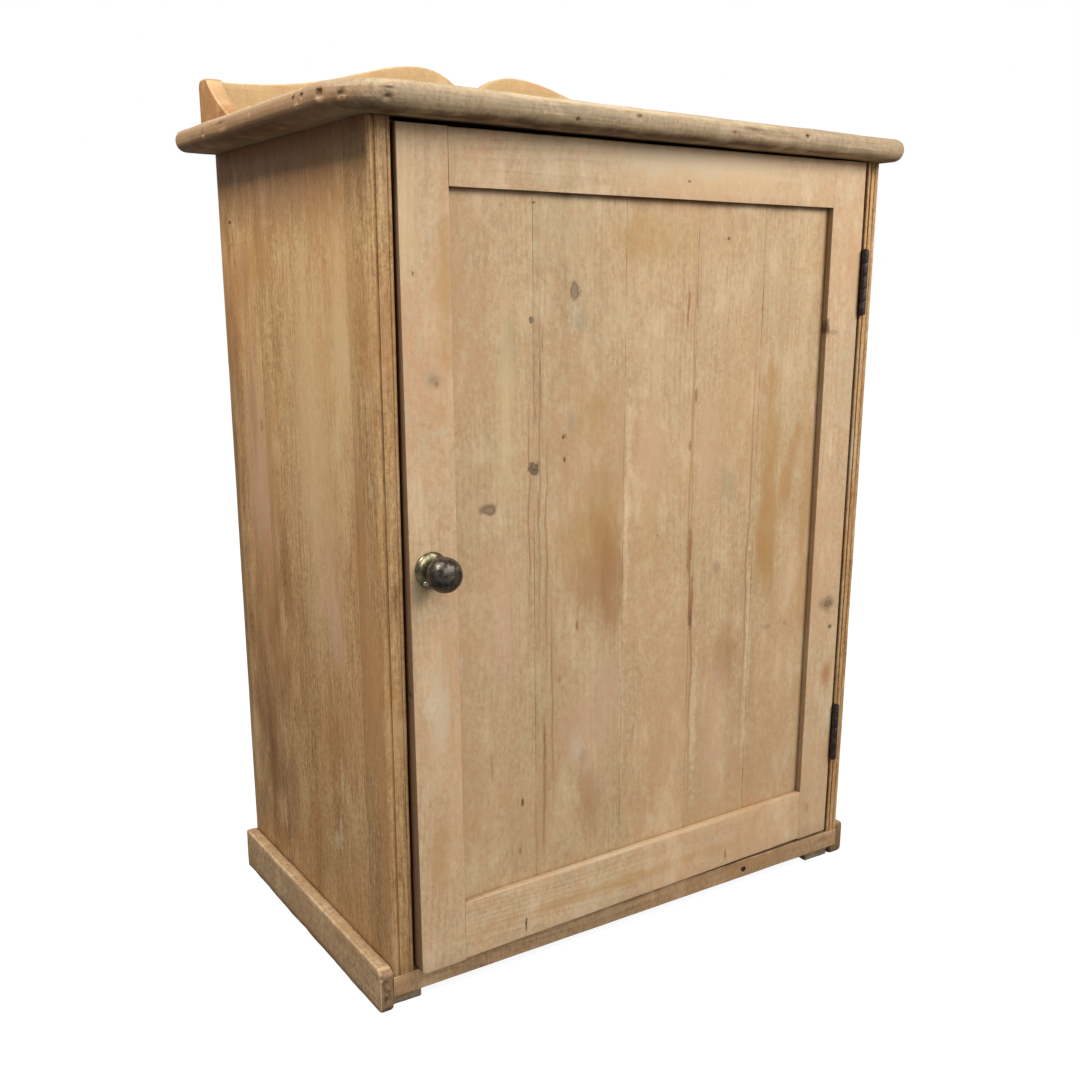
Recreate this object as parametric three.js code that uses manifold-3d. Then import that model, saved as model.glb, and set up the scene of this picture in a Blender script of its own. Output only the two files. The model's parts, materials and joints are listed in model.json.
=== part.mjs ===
// A jelly cupboard of stripped pine: plank sides standing on a bottom board, a bullnosed top with
// a shaped gallery, and one framed door hung on iron butt hinges, with a turning knob and catch.
//
// Sizes are millimetres, +Z is up. Pieces are placed in the carcass frame: X = 0 on the outer face
// of the left side (+X runs right), Y = 0 on the carcass front (+Y runs back), Z = 0 under the
// bottom board. The whole cupboard is then moved so that its origin is on the floor, in the middle
// of its box.

import * as THREE from 'three';
import { mergeVertices } from 'three/addons/utils/BufferGeometryUtils.js';
import Module from 'manifold-3d';

const wasm = await Module();
wasm.setup();

// Carcass
const carcassWidth = 676.3;
const carcassDepth = 422;
const carcassHeight = 900;
const sideThicknessLeft = 24.7;
const sideThicknessRight = 19;
const bottomThickness = 24.7;
const sideBoardShares = [0.13, 0.72]; // where each side's glue joints lie, front to back
const bottomJointShare = 0.52;

// Beaded front edges of the sides
const outerBeadWidth = 7.2;
const quirkWidth = 1.3;
const quirkDepth = 2.4;
const innerLineWidth = 1;
const innerLineDepth = 1.6;
const innerBeadWidth = 4.5;

// Top board
const topThickness = 25;
const topOverhangLeft = 46;
const topOverhangRight = 21;
const topOverhangFrontLeft = 50; // the front edge is not quite square to the sides
const topOverhangFrontRight = 30;
const topCornerRadiusLeft = 67; // this front corner is worn much rounder
const topCornerRadiusRight = 24;
const topNoseLand = 1; // narrow flat in the middle of the rounded edge
const topJointShare = 0.46;

// Gallery on the top
const galleryBackThickness = 18;
const gallerySideThickness = 19;
const gallerySideInset = -15; // outer face of the side board, outside the carcass face
const galleryEndHeight = 54;
const galleryCrestHeight = 96.5;
const galleryNotchHeight = 58;
const galleryNotchShare = 0.494; // the notch's place along the back
const gallerySideHeight = 55;
const gallerySideTopDepth = 23;
const gallerySideFootDepth = 107;
const gallerySideFootHeight = 4;
const gallerySideCornerRadius = 9;
const gallerySideBrowTurn = 54; // degrees that its front corner turns
const gallerySideHollowShares = [[0.887, 0.716], [0.39, 0.29]]; // the hollow's two pulls
const galleryRiseShares = [0.44, 0.575, 0.785]; // pull out of the end, pull into the crest, crest
const galleryFallShares = [0.9, 0.958]; // pulls between the crest and the middle notch

// Back boards and inner fittings
const backBoardCount = 5;
const backThickness = 12;
const rebateWidth = 10;
const backBattenHeight = 30;
const backBattenThickness = 20;
const topCleatSize = 22;
const topCleatFrontSetback = 62;
const shelfShares = [0.27, 0.5, 0.745]; // shelf heights in the inside height
const shelfThickness = 18;
const shelfSetback = 56;
const shelfFit = 0.5;
const cleatWidth = 15;
const cleatHeight = 22;
const cleatSetback = 10; // behind the shelf's front edge
const stopWidth = 15;
const stopThickness = 12;
const stopFit = 1; // between a shut door and the stop strip

// Runner boards and foot blocks under the carcass
const runnerThicknessLeft = 15;
const runnerThicknessRight = 17;
const runnerHeightLeft = 53;
const runnerHeightRight = 46.5;
const runnerDrop = 17; // below the bottom board
const runnerNoseRadius = 9;
const runnerTopChamferLeft = 6;
const runnerTopChamferRight = 2.5;
const runnerSetbackRight = 5.5;
const footSetback = 12;
const footDepth = 62;
const footWidthLeft = 39;
const footWidthRight = 41;
const footGapRight = 4; // to the right runner

// Door
const doorGapHinge = 3.8;
const doorGapFree = 2.5;
const doorGapTop = 1.5;
const doorGapBottom = 5.3;
const doorThickness = 20;
const doorSag = 3.5; // drop of the free edge
const doorWind = 11.4; // twist: how much farther the foot of the free edge stands out than its head
const doorAjarAngle = THREE.MathUtils.degToRad(0.82);
const stileWidthFree = 55.1;
const stileWidthHinge = 53;
const topRailHeight = 54;
const bottomRailHeight = 68;
const doorArris = 2.2;
const openingArris = 0.8; // round the panel
const doorFootRadius = 7; // worn corner at the foot of the free stile
const panelRecess = 9;
const panelThickness = 8;
const panelJointShares = [0.202, 0.425, 0.613, 0.8];
const panelJointGap = 0.25; // the boards have shrunk apart
const grooveDepth = 9;
const grooveFit = 0.6;
const tenonLength = 32;
const tenonThickness = 8;
const tenonShoulder = 8;
const tenonFit = 0.6;

// Knob and turning catch
const knobHeight = 476.2; // before the door sank
const knobFromEdge = 24.6; // in from the door's free edge
const knobRadius = 18.2;
const knobFlat = 2.8; // how much the ball's nose is flattened
const knobCentreOut = 28; // ball centre in front of the door's face
const neckRadius = 6.5;
const roseRadius = 18.6;
const roseHeight = 6;
const roseRim = 1.2; // upright edge under the dome
const roseBoreRadius = 4.6;
const spindleRadius = 4;
const spindleFit = 0.5;
const seatFit = 0.3; // between pieces that seat on each other and turn or tilt
const catchLength = 24.5;
const catchWidth = 9;
const catchThickness = 3;
const catchTail = 6; // past the spindle, away from the tip
const catchFit = 1.5; // behind the stop strip, with the door standing ajar
const nutRadius = 6.5;
const nutThickness = 3.5;

// Butt hinges
const hingeLength = 76.2;
const hingeLeafThickness = 1.8;
const hingeLeafReach = 17; // from the carcass front back along the gap
const hingeLeafFit = 0.2; // from the middle of the gap to each leaf
const hingeRecessFit = 0.3;
const knuckleRadius = 4.25;
const knuckleCount = 5;
const knuckleGap = 0.4;
const knuckleOut = 4.6; // pin centre in front of the carcass front
const pinRadius = 2.1;
const pinFit = 0.3;
const pinHeadRadius = 3.1;
const pinHeadHeight = 1.4;
const upperHingeShare = 0.8437; // hinge middles, up the carcass
const lowerHingeShare = 0.193;

// How fine the curves are
const overrun = 5; // how far a cutting tool reaches past what it cuts
const roundSteps = 24;
const arcSteps = 5;
const beadSteps = 10;
const cornerSteps = 12;
const sweepSteps = 14;

// Materials
const pine = (color, roughness = 0.78) => ({ color, roughness, metalness: 0 });
const doorPine = pine(0xc7a278);
const railPine = pine(0xc9a67d);
const panelPine = pine(0xc29a74);
const sidePine = pine(0xa67c50);
const topPine = pine(0x9c8460);
const galleryPine = pine(0xc89a55);
const runnerPine = pine(0xa8875a);
const innerPine = pine(0xb58a5a);
const brass = { color: 0x8c7a35, roughness: 0.35, metalness: 1 };
const bronze = { color: 0x2c241b, roughness: 0.25, metalness: 0.9 };
const iron = { color: 0x2f2a26, roughness: 0.6, metalness: 0.8 };

// Places that follow from the sizes
const insideLeft = sideThicknessLeft;
const insideRight = carcassWidth - sideThicknessRight;
const insideWidth = insideRight - insideLeft;
const sideHeight = carcassHeight - bottomThickness;
const backFace = carcassDepth - backThickness; // front of the back boards
const topSurface = carcassHeight + topThickness;
const hingeX = insideRight - doorGapHinge / 2;
const hingeY = -knuckleOut;
const doorRight = insideRight - doorGapHinge;
const doorLeft = insideLeft + doorGapFree;
const doorWidth = doorRight - doorLeft;
const doorBottom = bottomThickness + doorGapBottom;
const doorTop = carcassHeight - doorGapTop;
const doorHeight = doorTop - doorBottom;
const openingLeft = doorLeft + stileWidthFree;
const openingRight = doorRight - stileWidthHinge;
const openingBottom = doorBottom + bottomRailHeight;
const openingTop = doorTop - topRailHeight;
const stopFront = doorThickness + stopFit;

// Solids

// Turns a closed three.js geometry into a solid for joining and cutting.
function toSolid(geometry) {
  const bare = geometry.index ? geometry.toNonIndexed() : geometry.clone();
  bare.deleteAttribute('normal');
  bare.deleteAttribute('uv');
  const merged = mergeVertices(bare);
  return new wasm.Manifold(new wasm.Mesh({
    numProp: 3,
    vertProperties: new Float32Array(merged.attributes.position.array),
    triVerts: new Uint32Array(merged.index.array),
  }));
}

// Turns a solid back into a three.js geometry.
function toGeometry(solid) {
  const mesh = solid.getMesh();
  const geometry = new THREE.BufferGeometry();
  geometry.setAttribute('position', new THREE.BufferAttribute(new Float32Array(mesh.vertProperties), 3));
  geometry.setIndex(new THREE.BufferAttribute(new Uint32Array(mesh.triVerts), 1));
  geometry.computeVertexNormals();
  return geometry;
}

const cut = (body, ...tools) =>
  toGeometry(tools.reduce((solid, tool) => solid.subtract(toSolid(tool)), toSolid(body)));
const join = (body, ...others) =>
  toGeometry(others.reduce((solid, other) => solid.add(toSolid(other)), toSolid(body)));
const common = (body, other) => toGeometry(toSolid(body).intersect(toSolid(other)));

// A box from one corner: x, y, z is the low corner.
function block(width, depth, height, x = 0, y = 0, z = 0) {
  const box = new THREE.BoxGeometry(width, depth, height);
  return box.translate(x + width / 2, y + depth / 2, z + height / 2);
}

// Extrudes an outline along one axis, from 0 to length. The outline's two coordinates are
// x, y along 'z'; x, z along 'y'; and y, z along 'x'.
function prism(points, length, axis) {
  const shape = new THREE.Shape(points.map(([u, v]) => new THREE.Vector2(u, v)));
  const geometry = new THREE.ExtrudeGeometry(shape, { depth: length, bevelEnabled: false });
  const x = new THREE.Vector3(1, 0, 0);
  const y = new THREE.Vector3(0, 1, 0);
  const z = new THREE.Vector3(0, 0, 1);
  const turn = new THREE.Matrix4();
  if (axis === 'x') geometry.applyMatrix4(turn.makeBasis(y, z, x));
  if (axis === 'y') {
    geometry.applyMatrix4(turn.makeBasis(x, z, y.clone().negate()));
    geometry.translate(0, length, 0);
  }
  return geometry;
}

// Points of an arc round a centre, from one angle to another, in degrees.
function arc(centreU, centreV, radius, fromDegrees, toDegrees, steps = arcSteps) {
  return Array.from({ length: steps + 1 }, (_, i) => {
    const angle = THREE.MathUtils.degToRad(fromDegrees + ((toDegrees - fromDegrees) * i) / steps);
    return [centreU + radius * Math.cos(angle), centreV + radius * Math.sin(angle)];
  });
}

// Points of a curve pulled by two handles, its start left out.
function sweep(start, pullStart, pullEnd, end, steps = sweepSteps) {
  const at = ([u, v]) => new THREE.Vector2(u, v);
  const curve = new THREE.CubicBezierCurve(at(start), at(pullStart), at(pullEnd), at(end));
  return curve.getPoints(steps).slice(1).map((p) => [p.x, p.y]);
}

// A turned solid on the Y axis. The profile holds radius and distance along +Y, axis to axis.
function turned(profile, steps = roundSteps) {
  const points = profile.map(([radius, along]) => new THREE.Vector2(radius, along));
  return new THREE.LatheGeometry(points, steps);
}

// A rod along Z with its low end at z = 0.
function rod(radius, length, steps = roundSteps) {
  const cylinder = new THREE.CylinderGeometry(radius, radius, length, steps);
  return cylinder.rotateX(Math.PI / 2).translate(0, 0, length / 2);
}

// Mirrors an outline left to right, about u = half.
const flip = (points, width) => points.map(([u, v]) => [width - u, v]).reverse();

function piece(name, geometry, look, x = 0, y = 0, z = 0) {
  const mesh = new THREE.Mesh(geometry, new THREE.MeshStandardMaterial(look));
  mesh.name = name;
  mesh.position.set(x, y, z);
  return mesh;
}

// Carcass

// Plan section of a side's front board: a corner bead with its quirk, a flat, and an inner bead
// with a line beside it. Each bead stops where it meets the floor of its quirk or line.
function beadedSection(depth, thickness) {
  const outer = outerBeadWidth / 2;
  const inner = innerBeadWidth / 2;
  const turnAt = (radius, floor) => THREE.MathUtils.radToDeg(Math.asin((radius - floor) / radius));
  const lineStart = thickness - innerBeadWidth - innerLineWidth;
  return [
    [0, depth],
    ...arc(outer, outer, outer, 180, 360 - turnAt(outer, quirkDepth), beadSteps),
    [outerBeadWidth + quirkWidth, quirkDepth],
    [outerBeadWidth + quirkWidth, 0],
    [lineStart, 0],
    [lineStart, innerLineDepth],
    ...arc(thickness - inner, inner, inner, 180 + turnAt(inner, innerLineDepth), 360, beadSteps),
    [thickness, depth],
  ];
}

// Plan section of a side's rear board, with the rebate for the back boards.
function rebatedSection(start, thickness) {
  return [
    [0, start], [thickness, start], [thickness, backFace], [thickness - rebateWidth, backFace],
    [thickness - rebateWidth, carcassDepth], [0, carcassDepth],
  ];
}

function hingeRecess(height) {
  const reach = hingeLeafFit + hingeLeafThickness + hingeRecessFit;
  const length = hingeLength + 2 * hingeRecessFit;
  const depth = hingeLeafReach + hingeRecessFit + overrun;
  const span = 2 * reach;
  return block(span, depth, length, hingeX - reach, -overrun, height - length / 2);
}

const hingeHeights = {
  upper: upperHingeShare * carcassHeight,
  lower: lowerHingeShare * carcassHeight,
};

function buildSide(name, thickness, mirrored) {
  const group = new THREE.Group();
  const [frontJoint, rearJoint] = sideBoardShares.map((share) => share * carcassDepth);
  const face = (points) => (mirrored ? flip(points, thickness) : points);
  let front = prism(face(beadedSection(frontJoint, thickness)), sideHeight, 'z');
  if (mirrored) {
    const recesses = Object.values(hingeHeights).map((height) =>
      hingeRecess(height).translate(-insideRight, 0, -bottomThickness));
    front = cut(front, ...recesses);
  }
  const middle = block(thickness, rearJoint - frontJoint, sideHeight);
  const rear = prism(face(rebatedSection(rearJoint, thickness)), sideHeight, 'z');
  group.add(piece(`side_${name}_front_board`, front, sidePine));
  group.add(piece(`side_${name}_middle_board`, middle, sidePine, 0, frontJoint, 0));
  group.add(piece(`side_${name}_rear_board`, rear, sidePine));
  group.position.set(mirrored ? insideRight : 0, 0, bottomThickness);
  return group;
}

function buildBottom() {
  const group = new THREE.Group();
  const joint = bottomJointShare * backFace;
  const nose = [
    ...arc(doorArris, doorArris, doorArris, 180, 270), [joint, 0], [joint, bottomThickness],
    [0, bottomThickness],
  ];
  const front = prism(nose, carcassWidth, 'x');
  group.add(piece('bottom_board_front', front, sidePine));
  const rear = block(carcassWidth, backFace - joint, bottomThickness);
  group.add(piece('bottom_board_rear', rear, innerPine, 0, joint, 0));
  return group;
}

function buildBack() {
  const group = new THREE.Group();
  const left = insideLeft - rebateWidth;
  const boardWidth = (insideWidth + 2 * rebateWidth) / backBoardCount;
  for (let i = 0; i < backBoardCount; i += 1) {
    const board = block(boardWidth, backThickness, carcassHeight - bottomThickness);
    const x = left + i * boardWidth;
    group.add(piece(`back_board_${i + 1}`, board, innerPine, x, backFace, bottomThickness));
  }
  const battenLength = insideWidth - 2 * topCleatSize;
  const batten = block(battenLength, backBattenThickness, backBattenHeight);
  group.add(piece('back_top_batten', batten, innerPine, insideLeft + topCleatSize,
    backFace - backBattenThickness, carcassHeight - backBattenHeight));
  return group;
}

// Top and gallery

// Plan outline of the top, running past the carcass back, where it is cut off straight.
function topOutline() {
  const left = -topOverhangLeft;
  const right = carcassWidth + topOverhangRight;
  const back = carcassDepth + topThickness;
  const leftR = topCornerRadiusLeft;
  const rightR = topCornerRadiusRight;
  return [
    [left, back],
    ...arc(left + leftR, leftR - topOverhangFrontLeft, leftR, 180, 270, cornerSteps),
    ...arc(right - rightR, rightR - topOverhangFrontRight, rightR, 270, 360),
    [right, back],
  ];
}

function buildTop() {
  const group = new THREE.Group();
  const nose = (topThickness - topNoseLand) / 2;
  const shape = new THREE.Shape(topOutline().map(([x, y]) => new THREE.Vector2(x, y)));
  const slab = new THREE.ExtrudeGeometry(shape, {
    depth: topNoseLand,
    bevelThickness: nose,
    bevelSize: nose,
    bevelOffset: -nose,
    bevelSegments: arcSteps,
  }).translate(0, 0, nose);
  const width = carcassWidth + topOverhangLeft + topOverhangRight;
  const front = -Math.max(topOverhangFrontLeft, topOverhangFrontRight);
  const joint = front + topJointShare * (carcassDepth - front);
  const part = (from, to) => common(slab, block(width + 2 * overrun, to - from, topThickness + 2 * overrun,
    -topOverhangLeft - overrun, from, -overrun));
  group.add(piece('top_board_front', part(front - overrun, joint), topPine));
  group.add(piece('top_board_rear', part(joint, carcassDepth), topPine));
  group.position.set(0, 0, carcassHeight);
  return group;
}

// Half the elevation of the gallery back: it rises in a long sweep and falls to the notch.
function galleryHalf(width) {
  const [pullEnd, pullCrest, crest] = galleryRiseShares.map((share) => share * width);
  const [pullOver, pullNotch] = galleryFallShares.map((share) => share * width);
  const notchPull = (galleryCrestHeight + galleryNotchHeight) / 2;
  const rise = sweep([0, galleryEndHeight], [pullEnd, galleryEndHeight], [pullCrest, galleryCrestHeight],
    [crest, galleryCrestHeight]);
  const fall = sweep([crest, galleryCrestHeight], [pullOver, galleryCrestHeight], [pullNotch, notchPull],
    [width, galleryNotchHeight]);
  return [[0, 0], [0, galleryEndHeight], ...rise, ...fall];
}

function galleryOutline(width) {
  const notch = galleryNotchShare * width;
  return [...galleryHalf(notch), ...flip(galleryHalf(width - notch).slice(0, -1), width)];
}

// Side view of a gallery end: y runs back from the foot's tip.
function galleryEndOutline() {
  const back = gallerySideFootDepth;
  const r = gallerySideCornerRadius;
  const round = (y, from, to) => arc(y, gallerySideHeight - r, r, from, to);
  const brow = round(back - gallerySideTopDepth, 90, 90 + gallerySideBrowTurn);
  const start = brow[brow.length - 1];
  const pulls = gallerySideHollowShares.map(([run, rise]) => [run * start[0], rise * gallerySideHeight]);
  const hollow = sweep(start, ...pulls, [0, gallerySideFootHeight]);
  return [[0, 0], [back, 0], ...round(back - r, 0, 90), ...brow, ...hollow];
}

function buildGallery() {
  const group = new THREE.Group();
  const left = gallerySideInset + gallerySideThickness;
  const width = carcassWidth - 2 * left;
  const back = prism(galleryOutline(width), galleryBackThickness, 'y');
  group.add(piece('gallery_back', back, galleryPine, left, carcassDepth - galleryBackThickness, 0));
  const end = prism(galleryEndOutline(), gallerySideThickness, 'x');
  const endY = carcassDepth - gallerySideFootDepth;
  group.add(piece('gallery_side_left', end, galleryPine, gallerySideInset, endY, 0));
  group.add(piece('gallery_side_right', end.clone(), galleryPine, left + width, endY, 0));
  group.position.set(0, 0, topSurface);
  return group;
}

// Inner fittings

function buildShelves() {
  const group = new THREE.Group();
  const width = insideWidth - 2 * shelfFit;
  const depth = backFace - shelfSetback - shelfFit;
  const cleatDepth = depth - 2 * cleatSetback;
  shelfShares.forEach((share, i) => {
    const under = bottomThickness + share * sideHeight - shelfThickness;
    const shelf = block(width, depth, shelfThickness);
    group.add(piece(`shelf_${i + 1}`, shelf, innerPine, insideLeft + shelfFit, shelfSetback, under));
    const ends = { left: insideLeft, right: insideRight - cleatWidth };
    for (const [side, x] of Object.entries(ends)) {
      const cleat = block(cleatWidth, cleatDepth, cleatHeight);
      group.add(piece(`shelf_${i + 1}_cleat_${side}`, cleat, innerPine,
        x, shelfSetback + cleatSetback, under - cleatHeight));
    }
  });
  return group;
}

function buildInnerStrips() {
  const group = new THREE.Group();
  const cleatDepth = backFace - topCleatFrontSetback;
  const cleatZ = carcassHeight - topCleatSize;
  const cleat = block(topCleatSize, cleatDepth, topCleatSize);
  group.add(piece('top_cleat_left', cleat, innerPine, insideLeft, topCleatFrontSetback, cleatZ));
  group.add(piece('top_cleat_right', cleat.clone(), innerPine, insideRight - topCleatSize,
    topCleatFrontSetback, cleatZ));
  const strip = block(stopWidth, stopThickness, sideHeight);
  group.add(piece('door_stop_strip', strip, innerPine, insideLeft, stopFront, bottomThickness));
  return group;
}

// Runners and foot blocks

// Side view of a runner: worn round under its front end, with a knocked-off top corner.
function runnerOutline(setback, chamfer, height) {
  const r = runnerNoseRadius;
  return [
    ...arc(setback + r, r, r, 180, 270), [carcassDepth, 0], [carcassDepth, height],
    [setback + chamfer, height], [setback, height - chamfer],
  ];
}

function buildBase() {
  const group = new THREE.Group();
  const leftOutline = runnerOutline(0, runnerTopChamferLeft, runnerHeightLeft);
  const rightOutline = runnerOutline(runnerSetbackRight, runnerTopChamferRight, runnerHeightRight);
  const left = prism(leftOutline, runnerThicknessLeft, 'x');
  const right = prism(rightOutline, runnerThicknessRight, 'x');
  group.add(piece('runner_left', left, runnerPine, -runnerThicknessLeft, 0, 0));
  group.add(piece('runner_right', right, runnerPine, carcassWidth, 0, 0));
  const widths = { left: footWidthLeft, right: footWidthRight };
  const depths = { front: footSetback, rear: carcassDepth - footSetback - footDepth };
  for (const [side, width] of Object.entries(widths)) {
    for (const [end, y] of Object.entries(depths)) {
      const x = side === 'left' ? 0 : carcassWidth - width - footGapRight;
      const foot = block(width, footDepth, runnerDrop);
      group.add(piece(`foot_block_${end}_${side}`, foot, runnerPine, x, y, 0));
    }
  }
  group.position.set(0, 0, -runnerDrop);
  return group;
}

// Door

// How far the old door has moved at a place on its face: its free edge has sunk, and the whole
// frame is in wind, so the foot of the free edge stands farther out than its head.
function settledBy(x, z) {
  const fromHinge = (doorRight - x) / doorWidth;
  const fromMiddle = (z - (doorBottom + doorTop) / 2) / doorHeight;
  return { y: doorWind * fromHinge * fromMiddle, z: -doorSag * fromHinge };
}

// Gives a door piece, whose own origin is at x, z, the settled door's shape.
function settle(geometry, x = 0, z = 0) {
  const places = geometry.attributes.position;
  for (let i = 0; i < places.count; i += 1) {
    const moved = settledBy(x + places.getX(i), z + places.getZ(i));
    places.setY(i, places.getY(i) + moved.y);
    places.setZ(i, places.getZ(i) + moved.z);
  }
  geometry.computeVertexNormals();
  return geometry;
}

// Plan section of a stile, its two front arrises rounded over.
function stileSection(width, leftR, rightR) {
  return [[0, doorThickness], ...arc(leftR, leftR, leftR, 180, 270),
    ...arc(width - rightR, rightR, rightR, 270, 360), [width, doorThickness]];
}

// The door's own elevation, worn round at the foot of its free edge, as a solid to cut with.
function doorBlank() {
  const r = doorFootRadius;
  const outline = [
    ...arc(doorLeft + r, doorBottom + r, r, 180, 270), [doorRight, doorBottom], [doorRight, doorTop],
    [doorLeft, doorTop],
  ];
  return prism(outline, doorThickness, 'y');
}

// The groove that takes the panel, cut between the rails' shoulders.
function panelGroove() {
  const grow = grooveDepth;
  return block(
    openingRight - openingLeft + 2 * grow, panelThickness + 2 * grooveFit,
    openingTop - openingBottom + 2 * grow,
    openingLeft - grow, panelRecess - grooveFit, openingBottom - grow);
}

function tenon(bottom, height, grow) {
  const low = bottom + tenonShoulder - grow;
  const y = (doorThickness - tenonThickness) / 2 - grow;
  const length = openingRight - openingLeft + 2 * (tenonLength + grow);
  return block(length, tenonThickness + 2 * grow, height - 2 * tenonShoulder + 2 * grow,
    openingLeft - tenonLength - grow, y, low);
}

const rails = {
  top: { bottom: openingTop, height: topRailHeight, low: openingArris, high: doorArris },
  bottom: { bottom: doorBottom, height: bottomRailHeight, low: doorArris, high: openingArris },
};

function buildStile(name, x, width, arrises, extraCuts) {
  const stick = prism(stileSection(width, ...arrises), doorHeight, 'z').translate(x, 0, doorBottom);
  const blank = common(stick, doorBlank());
  const mortises = Object.values(rails).map((rail) => tenon(rail.bottom, rail.height, tenonFit));
  const stile = cut(blank, panelGroove(), ...mortises, ...extraCuts);
  return piece(`door_stile_${name}`, settle(stile), doorPine);
}

function buildRail(name, rail) {
  const { low, high } = rail;
  const section = [
    [doorThickness, 0], [doorThickness, rail.height],
    ...arc(high, rail.height - high, high, 90, 180), ...arc(low, low, low, 180, 270),
  ];
  const blank = prism(section, openingRight - openingLeft, 'x').translate(openingLeft, 0, rail.bottom);
  const tenons = tenon(rail.bottom, rail.height, 0);
  return piece(`door_rail_${name}`, settle(cut(join(blank, tenons), panelGroove())), railPine);
}

function buildPanel() {
  const group = new THREE.Group();
  const tongue = grooveDepth - grooveFit;
  const left = openingLeft - tongue;
  const width = openingRight - openingLeft + 2 * tongue;
  const low = openingBottom - tongue;
  const height = openingTop - openingBottom + 2 * tongue;
  const joints = [0, ...panelJointShares, 1].map((share) => left + share * width);
  for (let i = 1; i < joints.length; i += 1) {
    const board = block(joints[i] - joints[i - 1] - panelJointGap, panelThickness, height);
    group.add(piece(`door_panel_board_${i}`, settle(board, joints[i - 1], low), panelPine,
      joints[i - 1], panelRecess, low));
  }
  return group;
}

// Knob, rose, spindle and catch, built along -Y from the door's face at y = 0.
function buildKnob(x, z) {
  const group = new THREE.Group();
  const roseFace = -seatFit - roseHeight;
  const crown = neckRadius + roseRim; // flat round the neck, on top of the dome
  const dome = arc(0, 0, 1, 0, 90).map(([across, up]) => [
    crown + (roseRadius - crown) * across, roseRim + (roseHeight - roseRim) * up,
  ]);
  const rose = turned([
    [roseBoreRadius, 0], [roseRadius, 0], ...dome, [roseBoreRadius, roseHeight], [roseBoreRadius, 0],
  ]).rotateX(Math.PI);
  group.add(piece('knob_rose', rose, brass, 0, -seatFit, 0));

  const neckStart = roseFace - seatFit;
  const centre = -knobCentreOut - neckStart;
  const ballSteps = 2 * arcSteps;
  const neckAngle = THREE.MathUtils.radToDeg(Math.acos(neckRadius / knobRadius));
  const ball = arc(0, 0, knobRadius, -neckAngle, 90, ballSteps).slice(0, -1)
    .map(([radius, along]) => [radius, Math.min(along, knobRadius - knobFlat) - centre]);
  const nose = [0, knobRadius - knobFlat - centre];
  const knob = turned([[0, 0], [neckRadius, 0], ...ball, nose]).rotateX(Math.PI);
  group.add(piece('knob', knob, bronze, 0, neckStart, 0));

  const ajarOut = (hingeX - x) * Math.tan(doorAjarAngle);
  const catchFront = stopFront + stopThickness + ajarOut + catchFit;
  const spindleEnd = catchFront + catchThickness + nutThickness / 2;
  const spindleStart = neckStart + seatFit;
  const spindle = turned([[0, 0], [spindleRadius, 0], [spindleRadius, spindleEnd - spindleStart],
    [0, spindleEnd - spindleStart]]);
  group.add(piece('knob_spindle', spindle, iron, 0, spindleStart, 0));

  const half = catchWidth / 2;
  const bar = prism([...arc(0, -catchLength + half, half, 180, 360), ...arc(0, catchTail, half, 0, 180)],
    catchThickness, 'y');
  const bore = rod(spindleRadius + seatFit, catchThickness + 2 * overrun).rotateX(-Math.PI / 2)
    .translate(0, -overrun, 0);
  group.add(piece('catch_bar', cut(bar, bore), iron, 0, catchFront, 0));

  const nut = turned([
    [spindleRadius + seatFit, 0], [nutRadius, 0], [nutRadius, nutThickness / 2],
    [nutRadius / 2 + spindleRadius / 2, nutThickness], [spindleRadius + seatFit, nutThickness],
    [spindleRadius + seatFit, 0],
  ]);
  group.add(piece('catch_nut', nut, iron, 0, catchFront + catchThickness + seatFit, 0));
  const moved = settledBy(x, z);
  group.position.set(x, moved.y, z + moved.z);
  return group;
}

// Hinges

// One leaf with its own knuckles, round the pin at x = y = 0, its foot at z = 0. The door's leaf
// lies left of the pin and has the even knuckles; the frame's lies right and has the odd ones.
function hingeLeaf(isDoorLeaf) {
  const pitch = hingeLength / knuckleCount;
  const reach = knuckleOut + hingeLeafReach;
  const plateX = isDoorLeaf ? -hingeLeafFit - hingeLeafThickness : hingeLeafFit;
  let leaf = block(hingeLeafThickness, reach, hingeLength, plateX, 0, 0);
  const own = [];
  const others = [];
  for (let i = 0; i < knuckleCount; i += 1) {
    const isOwn = (i % 2 === 1) === isDoorLeaf;
    const low = i * pitch + (i > 0 ? knuckleGap / 2 : 0);
    const high = (i + 1) * pitch - (i < knuckleCount - 1 ? knuckleGap / 2 : 0);
    const room = isOwn ? 0 : knuckleGap;
    const knuckle = rod(knuckleRadius + room, high - low + 2 * room).translate(0, 0, low - room);
    (isOwn ? own : others).push(knuckle);
  }
  leaf = join(cut(leaf, ...others), ...own);
  const bore = rod(pinRadius + pinFit, hingeLength + 2 * overrun).translate(0, 0, -overrun);
  return cut(leaf, bore);
}

function hingePin() {
  const length = hingeLength + 2 * seatFit;
  return turned([
    [0, -pinHeadHeight], [pinHeadRadius, -pinHeadHeight / 2], [pinHeadRadius, 0], [pinRadius, 0],
    [pinRadius, length], [pinHeadRadius, length], [pinHeadRadius, length + pinHeadHeight / 2],
    [0, length + pinHeadHeight],
  ], roundSteps / 2).rotateX(Math.PI / 2);
}

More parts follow.
